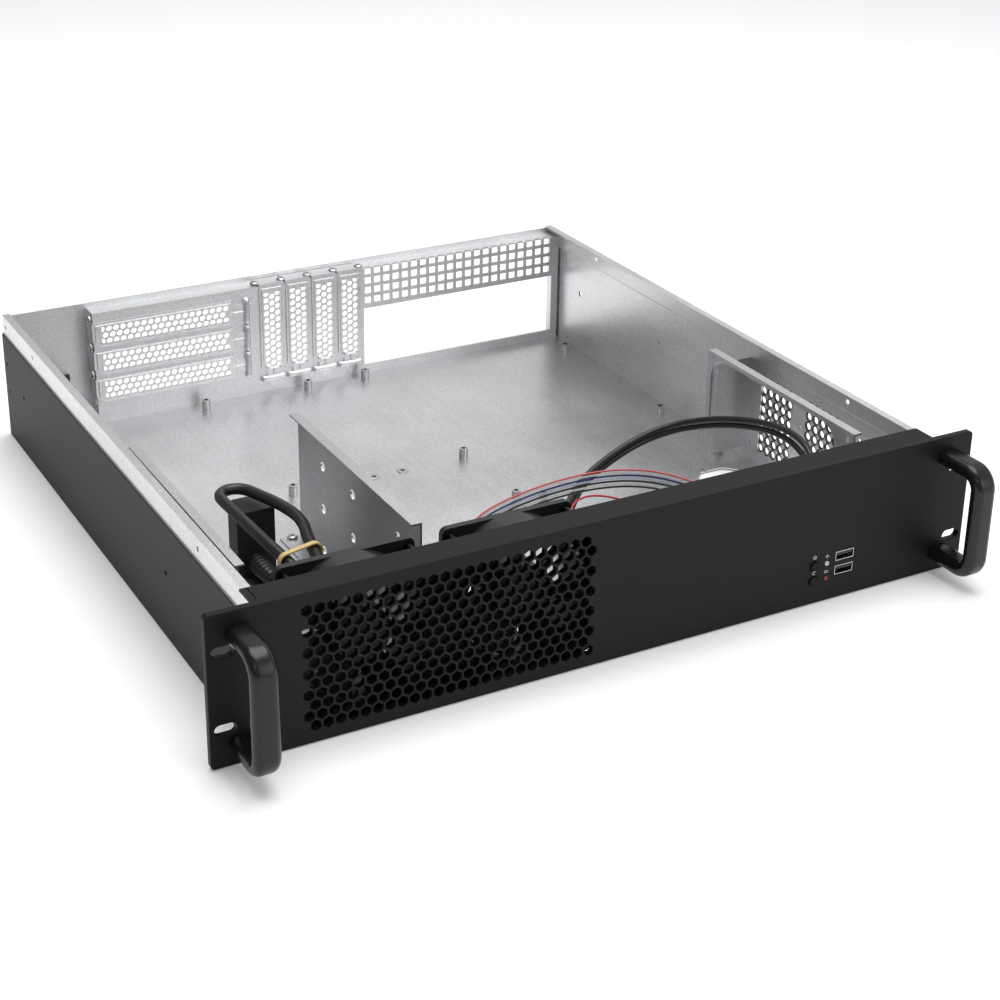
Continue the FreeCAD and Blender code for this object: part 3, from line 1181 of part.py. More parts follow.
# The front ports hang on two cables side by side, from a header plug on the floor.
port_cord = value("port_cord")
header_y = 82
header_z = value("sheet") + value("seat_gap") + 3.3
port_header = block("port_header", ("18", "32"), ("face + 68", "face + 82"),
                    ("sheet + seat_gap", "sheet + seat_gap + 6.6"))
twin_route = [((25, header_y, header_z), (-3, 0, 0)), ((25, 100, header_z), (-3, 0, 0)),
              ((36, 126, 8), (-2.4, 0.8, 1.2)), ((55, 150, 14), (-1, 0.6, 2.1)), ((80, 171, 20), (0, 0, 2.3)),
              ((121, 183, 30), (0, 0, 2.3)), ((147, 178, 38), (0, 0, 2.3)), ((164, 158, 47), (0, 0, 2.3)),
              ((172, 130, 56), (0, 0, 2.3)), ((175, 100, 63), (0, 0, 2.3)), ((173, 73, 64), (0, -1, 3.4)),
              ((168.2, 52.5, 56.5), (-1.3, -1.5, 4.5)), ((158.5, 36.5, 39.5), (-2.5, -1.5, 4.5))]
board_gap = value("board_set") + value("board_thick")
for label, side, end in (("port_cable_upper", 1, "port_upper"), ("port_cable_lower", -1, "port_lower")):
    route = [laid(x + side * across, y + side * along, z + side * up)
             for (x, y, z), (across, along, up) in twin_route]
    route += [laid(value("port_place") - side * 2.5, board_gap + 13, value(end)),
              laid(value("port_place") - side * 2.5, board_gap, value(end))]
    cable(label, port_cord, route)

# Seven thin wires run flat together from the small board to plugs on the floor.
WIRES = ["red", "white_one", "blue", "pale_blue", "black_one", "white_two", "black_two"]
plug_z = value("sheet") + value("seat_gap") + 1.3
wire_route = [((-68, 96, plug_z), (0, -2.54, 0)), ((-50, 96, plug_z), (0, -2.54, 0)),
              ((-38, 112, 12), (1.8, -1.3, -0.8)), ((-27.5, 133.8, 30), (0.3, 0, -1.9)), ((20, 139, 39.5), (0, 0, -1.9)),
              ((70, 132, 45), (0, 0, -1.9)), ((101, 109, 46), (0, 0, -1.9)), ((119, 68, 42), (0, 0, -1.9)),
              ((129, 42, 33), (0, 0, -1.9)), ((132, board_gap + 12, 24), (0, 0, -1.9)),
              ((132, board_gap, 24), (0, 0, -1.9))]
for number, colour in enumerate(WIRES):
    cable("wire_" + colour, value("wire"), [
        laid(x + across * number, y + along * number, z + up * number)
        for (x, y, z), (across, along, up) in wire_route])
wire_plugs = group("wire_plugs", [
    block("wire plug", ("-82", "-68"), ("face + 96 - %s" % low, "face + 96 - %s" % high),
          ("sheet + seat_gap", "sheet + seat_gap + 2.6"))
    for low, high in (("3.7", "-1.2"), ("8.8", "3.9"), ("13.9", "9"), ("16.5", "14.1"))])

# One more thin lead runs from the right fan to a plug of its own.
fan_lead = cable("fan_lead", value("wire"), [
    Vector(value("fan_right") + value("fan_wide") / 2, value("fan_y") + 12, 20),
    Vector(value("fan_right") + value("fan_wide") / 2 + 13, value("fan_y") + 12, 20),
    laid(14, 60, 33), laid(22, 98, 43), laid(45, 114, 41), laid(69, 108, 35), laid(90, 86, 24), laid(100, 66, 10),
    laid(104, 50, plug_z), laid(104, 40, plug_z)])
fan_lead_plug = block("fan_lead_plug", ("101", "107"), ("face + 28", "face + 40"),
                      ("sheet + seat_gap", "sheet + seat_gap + 2.6"))

# Every feature must have worked before anything is written.

doc.recompute()
for item in doc.Objects:
    if "Invalid" in item.State or "Error" in item.State:
        raise RuntimeError("feature failed: %s %s" % (item.Label, item.State))

NODES = [
    "front_panel", "left_handle", "right_handle", "handle_bolts", "chassis_tray", "front_frame", "rear_panel",
    "slot_cover_lying_1", "slot_cover_lying_2", "slot_cover_lying_3", "slot_cover_upright_1",
    "slot_cover_upright_2", "slot_cover_upright_3", "slot_cover_upright_4", "slot_screws", "cover_side_screws",
    "inlet_socket", "board_standoffs", "flush_nuts", "bay_rail", "bay_divider", "supply_plate", "supply_brace",
    "foot_screws", "fan_wall", "fan_frame_left", "fan_frame_right", "fan_rotor_left", "fan_rotor_right",
    "fan_screws", "control_board", "board_studs", "board_bracket", "button_switches", "power_button",
    "reset_button", "power_light", "activity_light", "port_shells", "port_tongues", "power_cord", "cord_plug",
    "cord_band", "port_header", "port_cable_upper", "port_cable_lower", "wire_plugs", "fan_lead", "fan_lead_plug",
] + ["wire_" + colour for colour in WIRES]
for node in NODES:
    piece = doc.getObjectsByLabel(node)[0]
    if piece.Shape.isNull() or not piece.Shape.isValid():
        raise RuntimeError("bad shape: " + node)
    if not piece.Shape.Solids:
        raise RuntimeError("no solid: " + node)
    piece.Shape.exportStep("parts/" + node + ".step")
print("%d nodes, %d solids" % (len(NODES), sum(len(doc.getObjectsByLabel(n)[0].Shape.Solids) for n in NODES)))
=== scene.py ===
import math
import bmesh
import bpy
from mathutils import Matrix, Vector


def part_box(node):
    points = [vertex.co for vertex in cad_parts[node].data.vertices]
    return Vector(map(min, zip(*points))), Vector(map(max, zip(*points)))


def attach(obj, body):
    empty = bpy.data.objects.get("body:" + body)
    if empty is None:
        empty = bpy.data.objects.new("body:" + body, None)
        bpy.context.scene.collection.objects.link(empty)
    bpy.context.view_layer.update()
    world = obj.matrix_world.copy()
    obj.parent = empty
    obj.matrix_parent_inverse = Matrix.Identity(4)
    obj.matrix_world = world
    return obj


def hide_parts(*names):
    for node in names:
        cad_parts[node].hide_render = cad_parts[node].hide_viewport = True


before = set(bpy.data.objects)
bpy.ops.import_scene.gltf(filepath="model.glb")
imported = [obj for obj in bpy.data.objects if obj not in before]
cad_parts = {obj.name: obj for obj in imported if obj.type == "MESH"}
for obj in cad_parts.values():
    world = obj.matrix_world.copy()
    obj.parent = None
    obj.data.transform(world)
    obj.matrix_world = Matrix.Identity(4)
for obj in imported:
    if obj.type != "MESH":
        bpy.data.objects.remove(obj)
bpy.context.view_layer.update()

# ---- Folded tray ----
# Floor and side walls of the case, one sheet of zinc-coated steel cut, pierced and folded on a
# press brake.  The outside below the lid's step is powder coated black; the rest stays bare.


def zinc_sheet(name, tone, gloss, rolled_along, streaks):
    """Zinc-coated steel: fine mottled grain, soft clouds and faint rolling lines along one way."""
    finish = bpy.data.materials.new(name)
    finish.use_nodes = True
    nodes = finish.node_tree.nodes
    link = finish.node_tree.links.new
    shader = nodes["Principled BSDF"]
    shader.inputs["Metallic"].default_value = 1.0
    place = nodes.new("ShaderNodeTexCoord")
    rolled = nodes.new("ShaderNodeMapping")
    rolled.inputs["Scale"].default_value = [9 if axis == rolled_along else 300 for axis in "XYZ"]
    link(place.outputs["Object"], rolled.inputs["Vector"])
    layers = []
    for scale, detail, rough, source in ((620.0, 4.0, 0.7, place.outputs["Object"]),
                                         (7.0, 6.0, 0.6, place.outputs["Object"]),
                                         (1.0, 4.0, 0.6, rolled.outputs["Vector"])):
        layer = nodes.new("ShaderNodeTexNoise")
        layer.inputs["Scale"].default_value = scale
        layer.inputs["Detail"].default_value = detail
        layer.inputs["Roughness"].default_value = rough
        link(source, layer.inputs["Vector"])
        layers.append(layer)
    mottle, clouds, lines = layers
    cloudy = nodes.new("ShaderNodeMix")
    cloudy.inputs["Factor"].default_value = 0.45
    link(mottle.outputs["Fac"], cloudy.inputs["A"])
    link(clouds.outputs["Fac"], cloudy.inputs["B"])
    both = nodes.new("ShaderNodeMix")
    both.inputs["Factor"].default_value = 0.25 * streaks
    link(cloudy.outputs["Result"], both.inputs["A"])
    link(lines.outputs["Fac"], both.inputs["B"])
    shade = nodes.new("ShaderNodeValToRGB")
    shade.color_ramp.elements[0].position = 0.38
    shade.color_ramp.elements[0].color = [channel * 0.8 for channel in tone] + [1]
    shade.color_ramp.elements[1].position = 0.62
    shade.color_ramp.elements[1].color = [min(1, channel * 1.14) for channel in tone] + [1]
    link(both.outputs["Result"], shade.inputs["Fac"])
    link(shade.outputs["Color"], shader.inputs["Base Color"])
    dull = nodes.new("ShaderNodeMapRange")
    dull.inputs["From Min"].default_value = 0.35
    dull.inputs["From Max"].default_value = 0.65
    dull.inputs["To Min"].default_value = gloss - 0.06
    dull.inputs["To Max"].default_value = gloss + 0.08
    link(both.outputs["Result"], dull.inputs["Value"])
    link(dull.outputs["Result"], shader.inputs["Roughness"])
    relief = nodes.new("ShaderNodeBump")
    relief.inputs["Strength"].default_value = 0.08
    relief.inputs["Distance"].default_value = 0.0001
    link(mottle.outputs["Fac"], relief.inputs["Height"])
    link(relief.outputs["Normal"], shader.inputs["Normal"])
    return finish


def black_outside(finish, cover, coat_colour, first_hole, pitch, reach, fields):
    """Powder coat over the zinc wherever cover, a list of (axis, low, high) spans, says.

    Coat that went through a field of holes leaves a dark ring round each one on the bare side.
    """
    nodes = finish.node_tree.nodes
    link = finish.node_tree.links.new
    shader = nodes["Principled BSDF"]
    shader.inputs["Specular IOR Level"].default_value = coat_shine

    def reckon(operation, *values):
        step = nodes.new("ShaderNodeMath")
        step.operation = operation
        for socket, value in zip(step.inputs, values):
            if isinstance(value, float):
                socket.default_value = value
            else:
                link(value, socket)
        return step.outputs[0]

    place = nodes.new("ShaderNodeTexCoord")
    apart = nodes.new("ShaderNodeSeparateXYZ")
    link(place.outputs["Object"], apart.inputs["Vector"])
    around = nodes.new("ShaderNodeCombineXYZ")
    for axis, start, side in (("Y", first_hole[0], "X"), ("Z", first_hole[1], "Y")):
        shifted = reckon("SUBTRACT", apart.outputs[axis], start)
        link(reckon("WRAP", shifted, pitch / 2, -pitch / 2), around.inputs[side])
    away = nodes.new("ShaderNodeVectorMath")
    away.operation = "LENGTH"
    link(around.outputs[0], away.inputs[0])
    ring = reckon("LESS_THAN", away.outputs["Value"], reach)
    coated = 0.0
    for spans in cover + fields:
        inside = ring if spans in fields else 1.0
        for axis, low, high in spans:
            inside = reckon("MULTIPLY", inside, reckon("GREATER_THAN", apart.outputs[axis], low))
            inside = reckon("MULTIPLY", inside, reckon("LESS_THAN", apart.outputs[axis], high))
        coated = reckon("MAXIMUM", coated, inside)
    for socket, kind, value in (("Base Color", "RGBA", (*coat_colour, 1)), ("Roughness", "FLOAT", 0.5)):
        bare = shader.inputs[socket].links[0].from_socket
        mix = nodes.new("ShaderNodeMix")
        mix.data_type = kind
        ends = [end for end in mix.inputs if end.enabled]
        link(coated, ends[0])
        link(bare, ends[1])
        ends[2].default_value = value
        link([end for end in mix.outputs if end.enabled][0], shader.inputs[socket])
    link(reckon("SUBTRACT", 1.0, coated), shader.inputs["Metallic"])
    return finish


def folded_crisp():
    """Geometry nodes that join a solid's faces and keep every fold over 30 degrees crisp."""
    rule = bpy.data.node_groups.new("joined and crisp", "GeometryNodeTree")
    rule.interface.new_socket("Geometry", in_out="INPUT", socket_type="NodeSocketGeometry")
    rule.interface.new_socket("Geometry", in_out="OUTPUT", socket_type="NodeSocketGeometry")
    given = rule.nodes.new("NodeGroupInput")
    result = rule.nodes.new("NodeGroupOutput")
    joined = rule.nodes.new("GeometryNodeMergeByDistance")
    joined.inputs["Distance"].default_value = 0.000004
    smooth = rule.nodes.new("GeometryNodeSetShadeSmooth")
    crisp = rule.nodes.new("GeometryNodeSetShadeSmooth")
    crisp.domain = "EDGE"
    crisp.inputs["Shade Smooth"].default_value = False
    fold = rule.nodes.new("GeometryNodeInputMeshEdgeAngle")
    sharp = rule.nodes.new("FunctionNodeCompare")
    sharp.operation = "GREATER_THAN"
    sharp.inputs["B"].default_value = math.radians(30)
    rule.links.new(given.outputs[0], joined.inputs["Geometry"])
    rule.links.new(joined.outputs[0], smooth.inputs["Geometry"])
    rule.links.new(smooth.outputs[0], crisp.inputs["Geometry"])
    rule.links.new(fold.outputs["Unsigned Angle"], sharp.inputs["A"])
    rule.links.new(sharp.outputs[0], crisp.inputs["Selection"])
    rule.links.new(crisp.outputs[0], result.inputs[0])
    return rule


crisp_folds = folded_crisp()


def dress(node, finish, edge=0.0):
    """Gives a CAD piece its finish, crisp folds and, on a small piece, eased edges."""
    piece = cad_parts[node]
    piece.data.materials.clear()
    piece.data.materials.append(finish)
    folds = piece.modifiers.new("crisp folds", "NODES")
    folds.node_group = crisp_folds
    if edge:
        eased = piece.modifiers.new("eased edges", "BEVEL")
        eased.width = edge
        eased.segments = 2
        eased.limit_method = "ANGLE"
        eased.angle_limit = 0.6
        eased.harden_normals = True
    return piece


coat_black = (0.005, 0.005, 0.0054)
coat_shine = 0.18
panel_face = 205.375
wall_outside = 0.21395
lid_step = 0.0742
vent_pitch = 0.0069
vent_rear = (166.7 - panel_face) / 1000
vent_low = 0.0148
vent_wall = ("X", 0.2125, 0.2139)
vent_height = ("Z", vent_low - vent_pitch / 2, vent_low + 7.5 * vent_pitch)
tray_steel = black_outside(
    zinc_sheet("tray zinc and coat", (0.7, 0.705, 0.715), 0.34, "Y", 0.4),
    [[("X", -0.3, -wall_outside), ("Z", -0.1, lid_step)], [("X", wall_outside, 0.3), ("Z", -0.1, lid_step)],
     [("X", -0.3, 0.3), ("Z", -0.1, 0.0003)]],
    coat_black, (vent_rear, vent_low), vent_pitch, 0.0034,
    [[vent_wall, ("Y", vent_rear - 4.5 * vent_pitch, vent_rear + vent_pitch / 2), vent_height],
     [vent_wall, ("Y", vent_rear - 11.5 * vent_pitch, vent_rear - 6.5 * vent_pitch), vent_height]])
dress("chassis_tray", tray_steel)

# ---- Rear panel ----
# Zinc-coated sheet folded round the slot recess, with the large port-plate opening, square
# air holes above it and lanced bridges for the slot covers.

# Its zinc is a lighter copy of the tray's: the extra lightness is painted light on this front-facing sheet.
dress("rear_panel", zinc_sheet("rear zinc with painted light", (0.77, 0.775, 0.785), 0.48, "X", 0.4))

# ---- Slot covers ----
# Seven pierced plates of thin zinc-coated steel, three lying and four upright, each with a
# pressed border, a creased tongue under a lanced bridge and a bent tab held by one screw.


def paired(ring):
    """Each corner of a closed ring with the next one."""
    return list(zip(ring, ring[1:] + ring[:1]))


def walls(mesh, lower, upper):
    """Faces all round between two closed rings of corners."""
    for (a, b), (d, c) in zip(paired(lower), paired(upper)):
        mesh.faces.new((a, b, c, d))


def circle(radius, turns, across=0.0, up=0.0):
    """Points round a circle about a middle."""
    return [(across + radius * math.cos(2 * math.pi * k / turns),
             up + radius * math.sin(2 * math.pi * k / turns)) for k in range(turns)]


def made_piece(name, mesh, finish, smooth_below=None):
    """Makes a piece of a drawn mesh; folds of less than smooth_below radians are smooth."""
    solid = bpy.data.meshes.new(name)
    mesh.to_mesh(solid)
    mesh.free()
    solid.materials.append(finish)
    if smooth_below:
        solid.shade_smooth()
        solid.set_sharp_from_angle(angle=smooth_below)
    piece = bpy.data.objects.new(name, solid)
    bpy.context.collection.objects.link(piece)
    return piece


# The covers' zinc is a lighter copy of the tray's: the extra lightness is painted light on these front-facing
# plates.
cover_steel_painted_light = zinc_sheet("cover zinc with painted light", (0.76, 0.765, 0.775), 0.4, "X", 0.3)
cover_half = 0.00921
cover_thick = 0.001
border = 0.0012
border_slope = 0.0006
field_lift = 0.00045
hole_round = 0.00205
slot_pitch = 0.02032
slot_face = 0.227625
tab_end = 0.239425
tongue_half = 0.005
tongue_long = 0.011


def pierced_plate(name, outline, foot, top, holes, across, up):
    """A thin plate with a raised field full of round holes, drawn flat and laid on the slot face."""
    mesh = bmesh.new()

    def ring(points, level):
        corners = [mesh.verts.new((u, v, level)) for u, v in points]
        return corners, [mesh.edges.new(pair) for pair in paired(corners)]

    brim_edges = ring(outline, 0.0)[1]
    foot, foot_edges = ring(foot, 0.0)
    top, top_edges = ring(top, field_lift)
    bmesh.ops.triangle_fill(mesh, edges=brim_edges + foot_edges, use_beauty=True)
    walls(mesh, foot, top)
    rims = []
    for u, v in holes:
        rims += ring(circle(hole_round, 14, u, v), field_lift)[1]
    bmesh.ops.triangle_fill(mesh, edges=top_edges + rims, use_beauty=True)
    bmesh.ops.recalc_face_normals(mesh, faces=mesh.faces)
    if sum(face.normal.z * face.calc_area() for face in mesh.faces) < 0:
        bmesh.ops.reverse_faces(mesh, faces=mesh.faces)
    plate = made_piece(name, mesh, cover_steel_painted_light)
    for corner in plate.data.vertices:
        u, v, raised = corner.co
        corner.co = (across + u, slot_face - cover_thick - raised, up + v)
    sheet = plate.modifiers.new("sheet", "SOLIDIFY")
    sheet.thickness = cover_thick
    sheet.offset = -1.0
    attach(plate, "case")
    return plate


def bent_tab(name, corners, thick, plate):
    """The tab bent off a cover's end, a flat strip with a half-round screw notch."""
    mesh = bmesh.new()
    below = [mesh.verts.new(corner) for corner in corners]
    above = [mesh.verts.new(Vector(corner) + Vector(thick)) for corner in corners]
    mesh.faces.new(below)
    mesh.faces.new(list(reversed(above)))
    walls(mesh, below, above)
    bmesh.ops.recalc_face_normals(mesh, faces=mesh.faces)
    tab = made_piece(name, mesh, cover_steel_painted_light)
    tab.parent = plate


def pressed_bead(name, first, last, level, wide, high, plate):
    """A rounded ridge pressed up toward the front, from one (x, z) spot to another on a sheet."""
    first = Vector((first[0], level, first[1]))
    last = Vector((last[0], level, last[1]))
    along = (last - first).normalized()
    across = along.cross(Vector((0, 1, 0)))
    swell = ((0, 0.12), (0.35, 0.7), (0.7, 0.95), (1, 1))
    stations = [(first + along * (share * wide / 2), rise) for share, rise in swell]
    stations += [(last - along * (share * wide / 2), rise) for share, rise in reversed(swell)]
    mesh = bmesh.new()
    rings = []
    for spot, rise in stations:
        half = wide / 2 * (0.5 + 0.5 * rise)
        rings.append([mesh.verts.new(spot + across * (math.cos(math.pi * k / 8) * half)
                                     - Vector((0, math.sin(math.pi * k / 8) * high * rise, 0)))
                      for k in range(9)])
    for lower, upper in zip(rings, rings[1:]):
        walls(mesh, lower, upper)
    mesh.faces.new(rings[0])
    mesh.faces.new(list(reversed(rings[-1])))
    bmesh.ops.recalc_face_normals(mesh, faces=mesh.faces)
    bead = made_piece(name, mesh, cover_steel_painted_light, 0.8)
    bead.parent = plate


def crease_and_bridge(label, crease, bridge, plate):
    """The short crease in a cover's tongue and the lanced bridge that the tongue sits under."""
    crease_wide = 0.0013
    crease_high = 0.0006
    bridge_wide = 0.005
    bridge_high = 0.0033
    pressed_bead("cover_%s_crease_%d" % label, *crease, slot_face - cover_thick, crease_wide, crease_high,
                 plate)
    pressed_bead("cover_%s_bridge_%d" % label, *bridge, slot_face, bridge_wide, bridge_high, plate)


def staggered(first, pitch, count, gap):
    """Three lines of hole middles along a cover, the middle line half a pitch on and one short."""
    return [(first + pitch * (k + (0.5 if line == 0 else 0)), line * gap)
            for line in (-1, 0, 1) for k in range(count - (1 if line == 0 else 0))]


def lying_field(left, right, inset):
    """The outline of a lying cover's raised field, drawn in by inset."""
    edge = border + inset
    return [(left + edge + 0.0005, 0.0045 - cover_half), (left + edge + 0.0045, edge - cover_half),
            (right - 0.0052, edge - cover_half), (right - edge - 0.001, 0.0055 - cover_half),
            (right - edge - 0.001, cover_half - 0.0055), (right - 0.0052, cover_half - edge),
            (left + edge + 0.0005, cover_half - edge)]


first_lying = 0.0257
bridge_half = 0.0101
for number in range(3):
    label = ("lying", number + 1)
    low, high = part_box("slot_cover_%s_%d" % label)
    middle = first_lying + slot_pitch * number
    left = low.x
    right = high.x - tongue_long
    outline = [(left, 0.005 - cover_half), (left + 0.005, -cover_half), (right - 0.004, -cover_half),
               (right, -tongue_half), (right + tongue_long, -tongue_half), (right + tongue_long, tongue_half),
               (right, tongue_half), (right - 0.004, cover_half), (left, cover_half)]
    plate = pierced_plate("cover_%s_%d" % label, outline, lying_field(left, right, 0.0),
                          lying_field(left, right, border_slope), staggered(-0.1501, 0.00503, 19, 0.0044),
                          0.0, middle)
    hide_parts("slot_cover_%s_%d" % label)
    tab = [(-0.0005, -0.0042), (tab_end - slot_face, -0.0042), (tab_end - slot_face, 0.009), (0.0065, 0.009),
           (0.004, 0.0072), (0.0015, 0.009), (-0.0005, 0.009)]
    bent_tab("cover_%s_tab_%d" % label, [(left, slot_face + out, middle + up) for out, up in tab],
             (cover_thick, 0, 0), plate)
    crease_and_bridge(label, ((right - 0.006, middle), (right + 0.0052, middle)),
                      ((right + 0.007, middle - bridge_half), (right + 0.007, middle + bridge_half)), plate)


def upright_field(foot, top, inset):
    """The outline of an upright cover's raised field, drawn in by inset."""
    edge = border + inset
    return [(edge - cover_half, top - 0.0018 - inset), (edge - cover_half, foot + 0.0052),
            (0.0055 - cover_half, foot + 0.001 + edge), (cover_half - 0.0055, foot + 0.001 + edge),
            (cover_half - edge, foot + 0.0052), (cover_half - edge, top - 0.0018 - inset)]


first_upright = 0.0364
foot = 0.017
for number in range(4):
    label = ("upright", number + 1)
    middle = first_upright - slot_pitch * number
    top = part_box("slot_cover_%s_%d" % label)[1].z - cover_thick
    outline = [(-cover_half, top + cover_thick), (-cover_half, foot + 0.004), (-tongue_half, foot),
               (-tongue_half, 0.0094), (-0.002, 0.0054), (tongue_half, 0.0054), (tongue_half, foot),
               (cover_half, foot + 0.004), (cover_half, top + cover_thick)]
    holes = [(across, along) for along, across in staggered(0.0765, -0.00505, 12, 0.0043)]
    plate = pierced_plate("cover_%s_%d" % label, outline, upright_field(foot, top, 0.0),
                          upright_field(foot, top, border_slope), holes, middle, 0.0)
    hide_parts("slot_cover_%s_%d" % label)
    tab = [(-cover_half, -0.0005), (-cover_half, 0.002), (0.0008 - cover_half, 0.004), (-cover_half, 0.006),
           (-cover_half, tab_end - slot_face), (cover_half, tab_end - slot_face), (cover_half, -0.0005)]
    bent_tab("cover_%s_tab_%d" % label, [(middle + across, slot_face + out, top) for across, out in tab],
             (0, 0, cover_thick), plate)
    crease_and_bridge(label, ((middle, foot + 0.0052), (middle, foot - 0.0032)),
                      ((middle - bridge_half, foot - 0.005), (middle + bridge_half, foot - 0.005)), plate)

# ---- Cover screws ----
# Machine screws with low domed heads and cross recesses, formed from steel rod and bright
# plated, one through the tab of each cover into the rear sheet.


def fine_skin(name, grain, dark, pale, gloss, relief):
    """A finish whose colour and dullness run from one end to the other over a fine grain."""
    finish = bpy.data.materials.new(name)
    finish.use_nodes = True
    nodes = finish.node_tree.nodes
    link = finish.node_tree.links.new
    shader = nodes["Principled BSDF"]
    place = nodes.new("ShaderNodeTexCoord")
    skin = nodes.new("ShaderNodeTexNoise")
    for socket, value in zip(("Scale", "Detail", "Roughness"), grain):
        skin.inputs[socket].default_value = value
    link(place.outputs["Object"], skin.inputs["Vector"])
    shade = nodes.new("ShaderNodeValToRGB")
    for end, (spot, colour) in zip(shade.color_ramp.elements, (dark, pale)):
        end.position = spot
        end.color = (*colour, 1)
    link(skin.outputs["Fac"], shade.inputs["Fac"])
    link(shade.outputs["Color"], shader.inputs["Base Color"])
    dull = nodes.new("ShaderNodeMapRange")
    dull.inputs["To Min"].default_value = gloss[0]
    dull.inputs["To Max"].default_value = gloss[1]
    link(skin.outputs["Fac"], dull.inputs["Value"])
    link(dull.outputs["Result"], shader.inputs["Roughness"])
    if relief:
        bump = nodes.new("ShaderNodeBump")
        bump.inputs["Strength"].default_value = relief
        bump.inputs["Distance"].default_value = 0.0001
        link(skin.outputs["Fac"], bump.inputs["Height"])
        link(bump.outputs["Normal"], shader.inputs["Normal"])
    return finish


def tune(finish, socket, value):
    """Sets one value of a finish."""
    finish.node_tree.nodes["Principled BSDF"].inputs[socket].default_value = value


def head_tops(node, out):
    """The middle of the top of every screw head in one node of screws."""
    corners = [corner.co.copy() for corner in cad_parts[node].data.vertices]
    peak = max(corner.dot(out) for corner in corners)
    heads = []
    for corner in corners:
        if corner.dot(out) < peak - 0.00001:
            continue
        near = [head for head in heads if (head[0] - corner).length < 0.009]
        if near:
            near[0].append(corner)
        else:
            heads.append([corner])
    return [Vector([(min(spot[i] for spot in head) + max(spot[i] for spot in head)) / 2 for i in range(3)])
            for head in heads]


def cross_screws(name, node, out, head_round, head_high, shank_round, finish):
    """Domed screws with cross recesses in place of a node's plain ones, heads along out."""
    out = Vector(out)
    side = out.orthogonal().normalized()
    over = out.cross(side)
    low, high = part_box(node)
    shank_long = abs((high - low).dot(out)) - head_high
    thin = 0.13 * head_round
    far = 0.48 * head_round
    cross = [(far, -thin), (far, thin), (thin, thin), (thin, far), (-thin, far), (-thin, thin),
             (-far, thin), (-far, -thin), (-thin, -thin), (-thin, -far), (thin, -far), (thin, -thin)]
    dome = ((shank_round, -shank_long), (shank_round, 0), (head_round, 0), (head_round, 0.4 * head_high),
            (0.9 * head_round, 0.75 * head_high), (0.66 * head_round, head_high))
    mesh = bmesh.new()

    def ring(seat, outline, level):
        return [mesh.verts.new(seat + side * u + over * v + out * level) for u, v in outline]

    for top in head_tops(node, out):
        seat = top - out * head_high
        rings = [ring(seat, circle(radius, 20), level) for radius, level in dome]
        for lower, upper in zip(rings, rings[1:]):
            walls(mesh, lower, upper)
        mesh.faces.new(list(reversed(rings[0])))
        mouth = ring(seat, cross, head_high)
        pit = ring(seat, [(0.7 * u, 0.7 * v) for u, v in cross], 0.45 * head_high)
        lip = [mesh.edges.get(pair) for pair in paired(rings[-1])]
        lip += [mesh.edges.new(pair) for pair in paired(mouth)]
        bmesh.ops.triangle_fill(mesh, edges=lip, use_beauty=True)
        walls(mesh, mouth, pit)
        mesh.faces.new(pit)
    bmesh.ops.recalc_face_normals(mesh, faces=mesh.faces)
    screws = made_piece(name, mesh, finish, 0.6)
    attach(screws, "case")
    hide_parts(node)


plated = fine_skin("bright plated steel", (700.0, 4.0, 0.5), (0.0, (0.42, 0.42, 0.43)),
                   (1.0, (0.78, 0.78, 0.79)), (0.16, 0.34), 0.0)
tune(plated, "Metallic", 1.0)
cross_screws("cover_top_screws", "slot_screws", (0, 0, 1), 0.0032, 0.0015, 0.0017, plated)
cross_screws("cover_end_screws", "cover_side_screws", (-1, 0, 0), 0.0032, 0.0015, 0.0017, plated)

# ---- Mains inlet ----
# Black moulded socket snapped into an opening of the rear sheet, with three blades in its
# mouth; the mains lead leaves it on the inside.


def moulding(name, colour, gloss, relief=0.12):
    """Moulded plastic or rubber with a fine spark-eroded skin."""
    return fine_skin(name, (1600.0, 3.0, 0.5), (0.3, [channel * 0.86 for channel in colour]),
                     (0.7, [min(1, channel * 1.1) for channel in colour]), (gloss - 0.06, gloss + 0.06),
                     relief)


black_moulding = moulding("black moulding", (0.012, 0.012, 0.0125), 0.42)
dress("inlet_socket", black_moulding, 0.0003)

# ---- Standoffs ----
# Steel board standoffs pressed into the floor, and two flush nuts beside them; a black disc
# sunk in each threaded bore is painted shade for the dark hole.

dress("board_standoffs", plated)
nuts = dress("flush_nuts", plated, 0.00015)
nut_low, nut_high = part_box("flush_nuts")
nut_round = 0.004
bore_round = 0.00175
# Black discs sunk in the two bores: painted shade where the threaded holes fall dark.
mesh = bmesh.new()
for spot in ((nut_low.x + nut_round, nut_low.y + nut_round),
             (nut_high.x - nut_round, nut_high.y - nut_round)):
    bmesh.ops.create_cone(mesh, cap_ends=True, segments=20, radius1=bore_round, radius2=bore_round,
                          depth=0.0003, matrix=Matrix.Translation((*spot, nut_low.z + 0.0002)))
nut_bore_shade = made_piece("nut_bore_shade", mesh, moulding("painted bore shade", (0.004, 0.004, 0.004), 0.7, 0.02))
nut_bore_shade.parent = nuts

# ---- Drive cage ----
# A rail by the left wall and a divider, thin zinc-coated sheet pierced with round holes for
# cushioned drive screws, each with a folded top flange and a foot screwed to the floor.

# The cage's zinc is a darker copy of the tray's: the lost lightness is painted shade on the rail, divider,
# supply mount and board bracket.
cage_steel_painted_shade = zinc_sheet("cage zinc with painted shade", (0.62, 0.625, 0.635), 0.35, "Y", 0.4)
for node in ("bay_rail", "bay_divider"):
    dress(node, cage_steel_painted_shade)
cross_screws("floor_screws", "foot_screws", (0, 0, 1), 0.0034, 0.0018, 0.0019, plated)

# ---- Supply mount ----
# Arched plate with a rolled top edge and a cross brace, thin zinc-coated sheet, folded and
# screwed to the floor.

for node in ("supply_plate", "supply_brace"):
    dress(node, cage_steel_painted_shade)

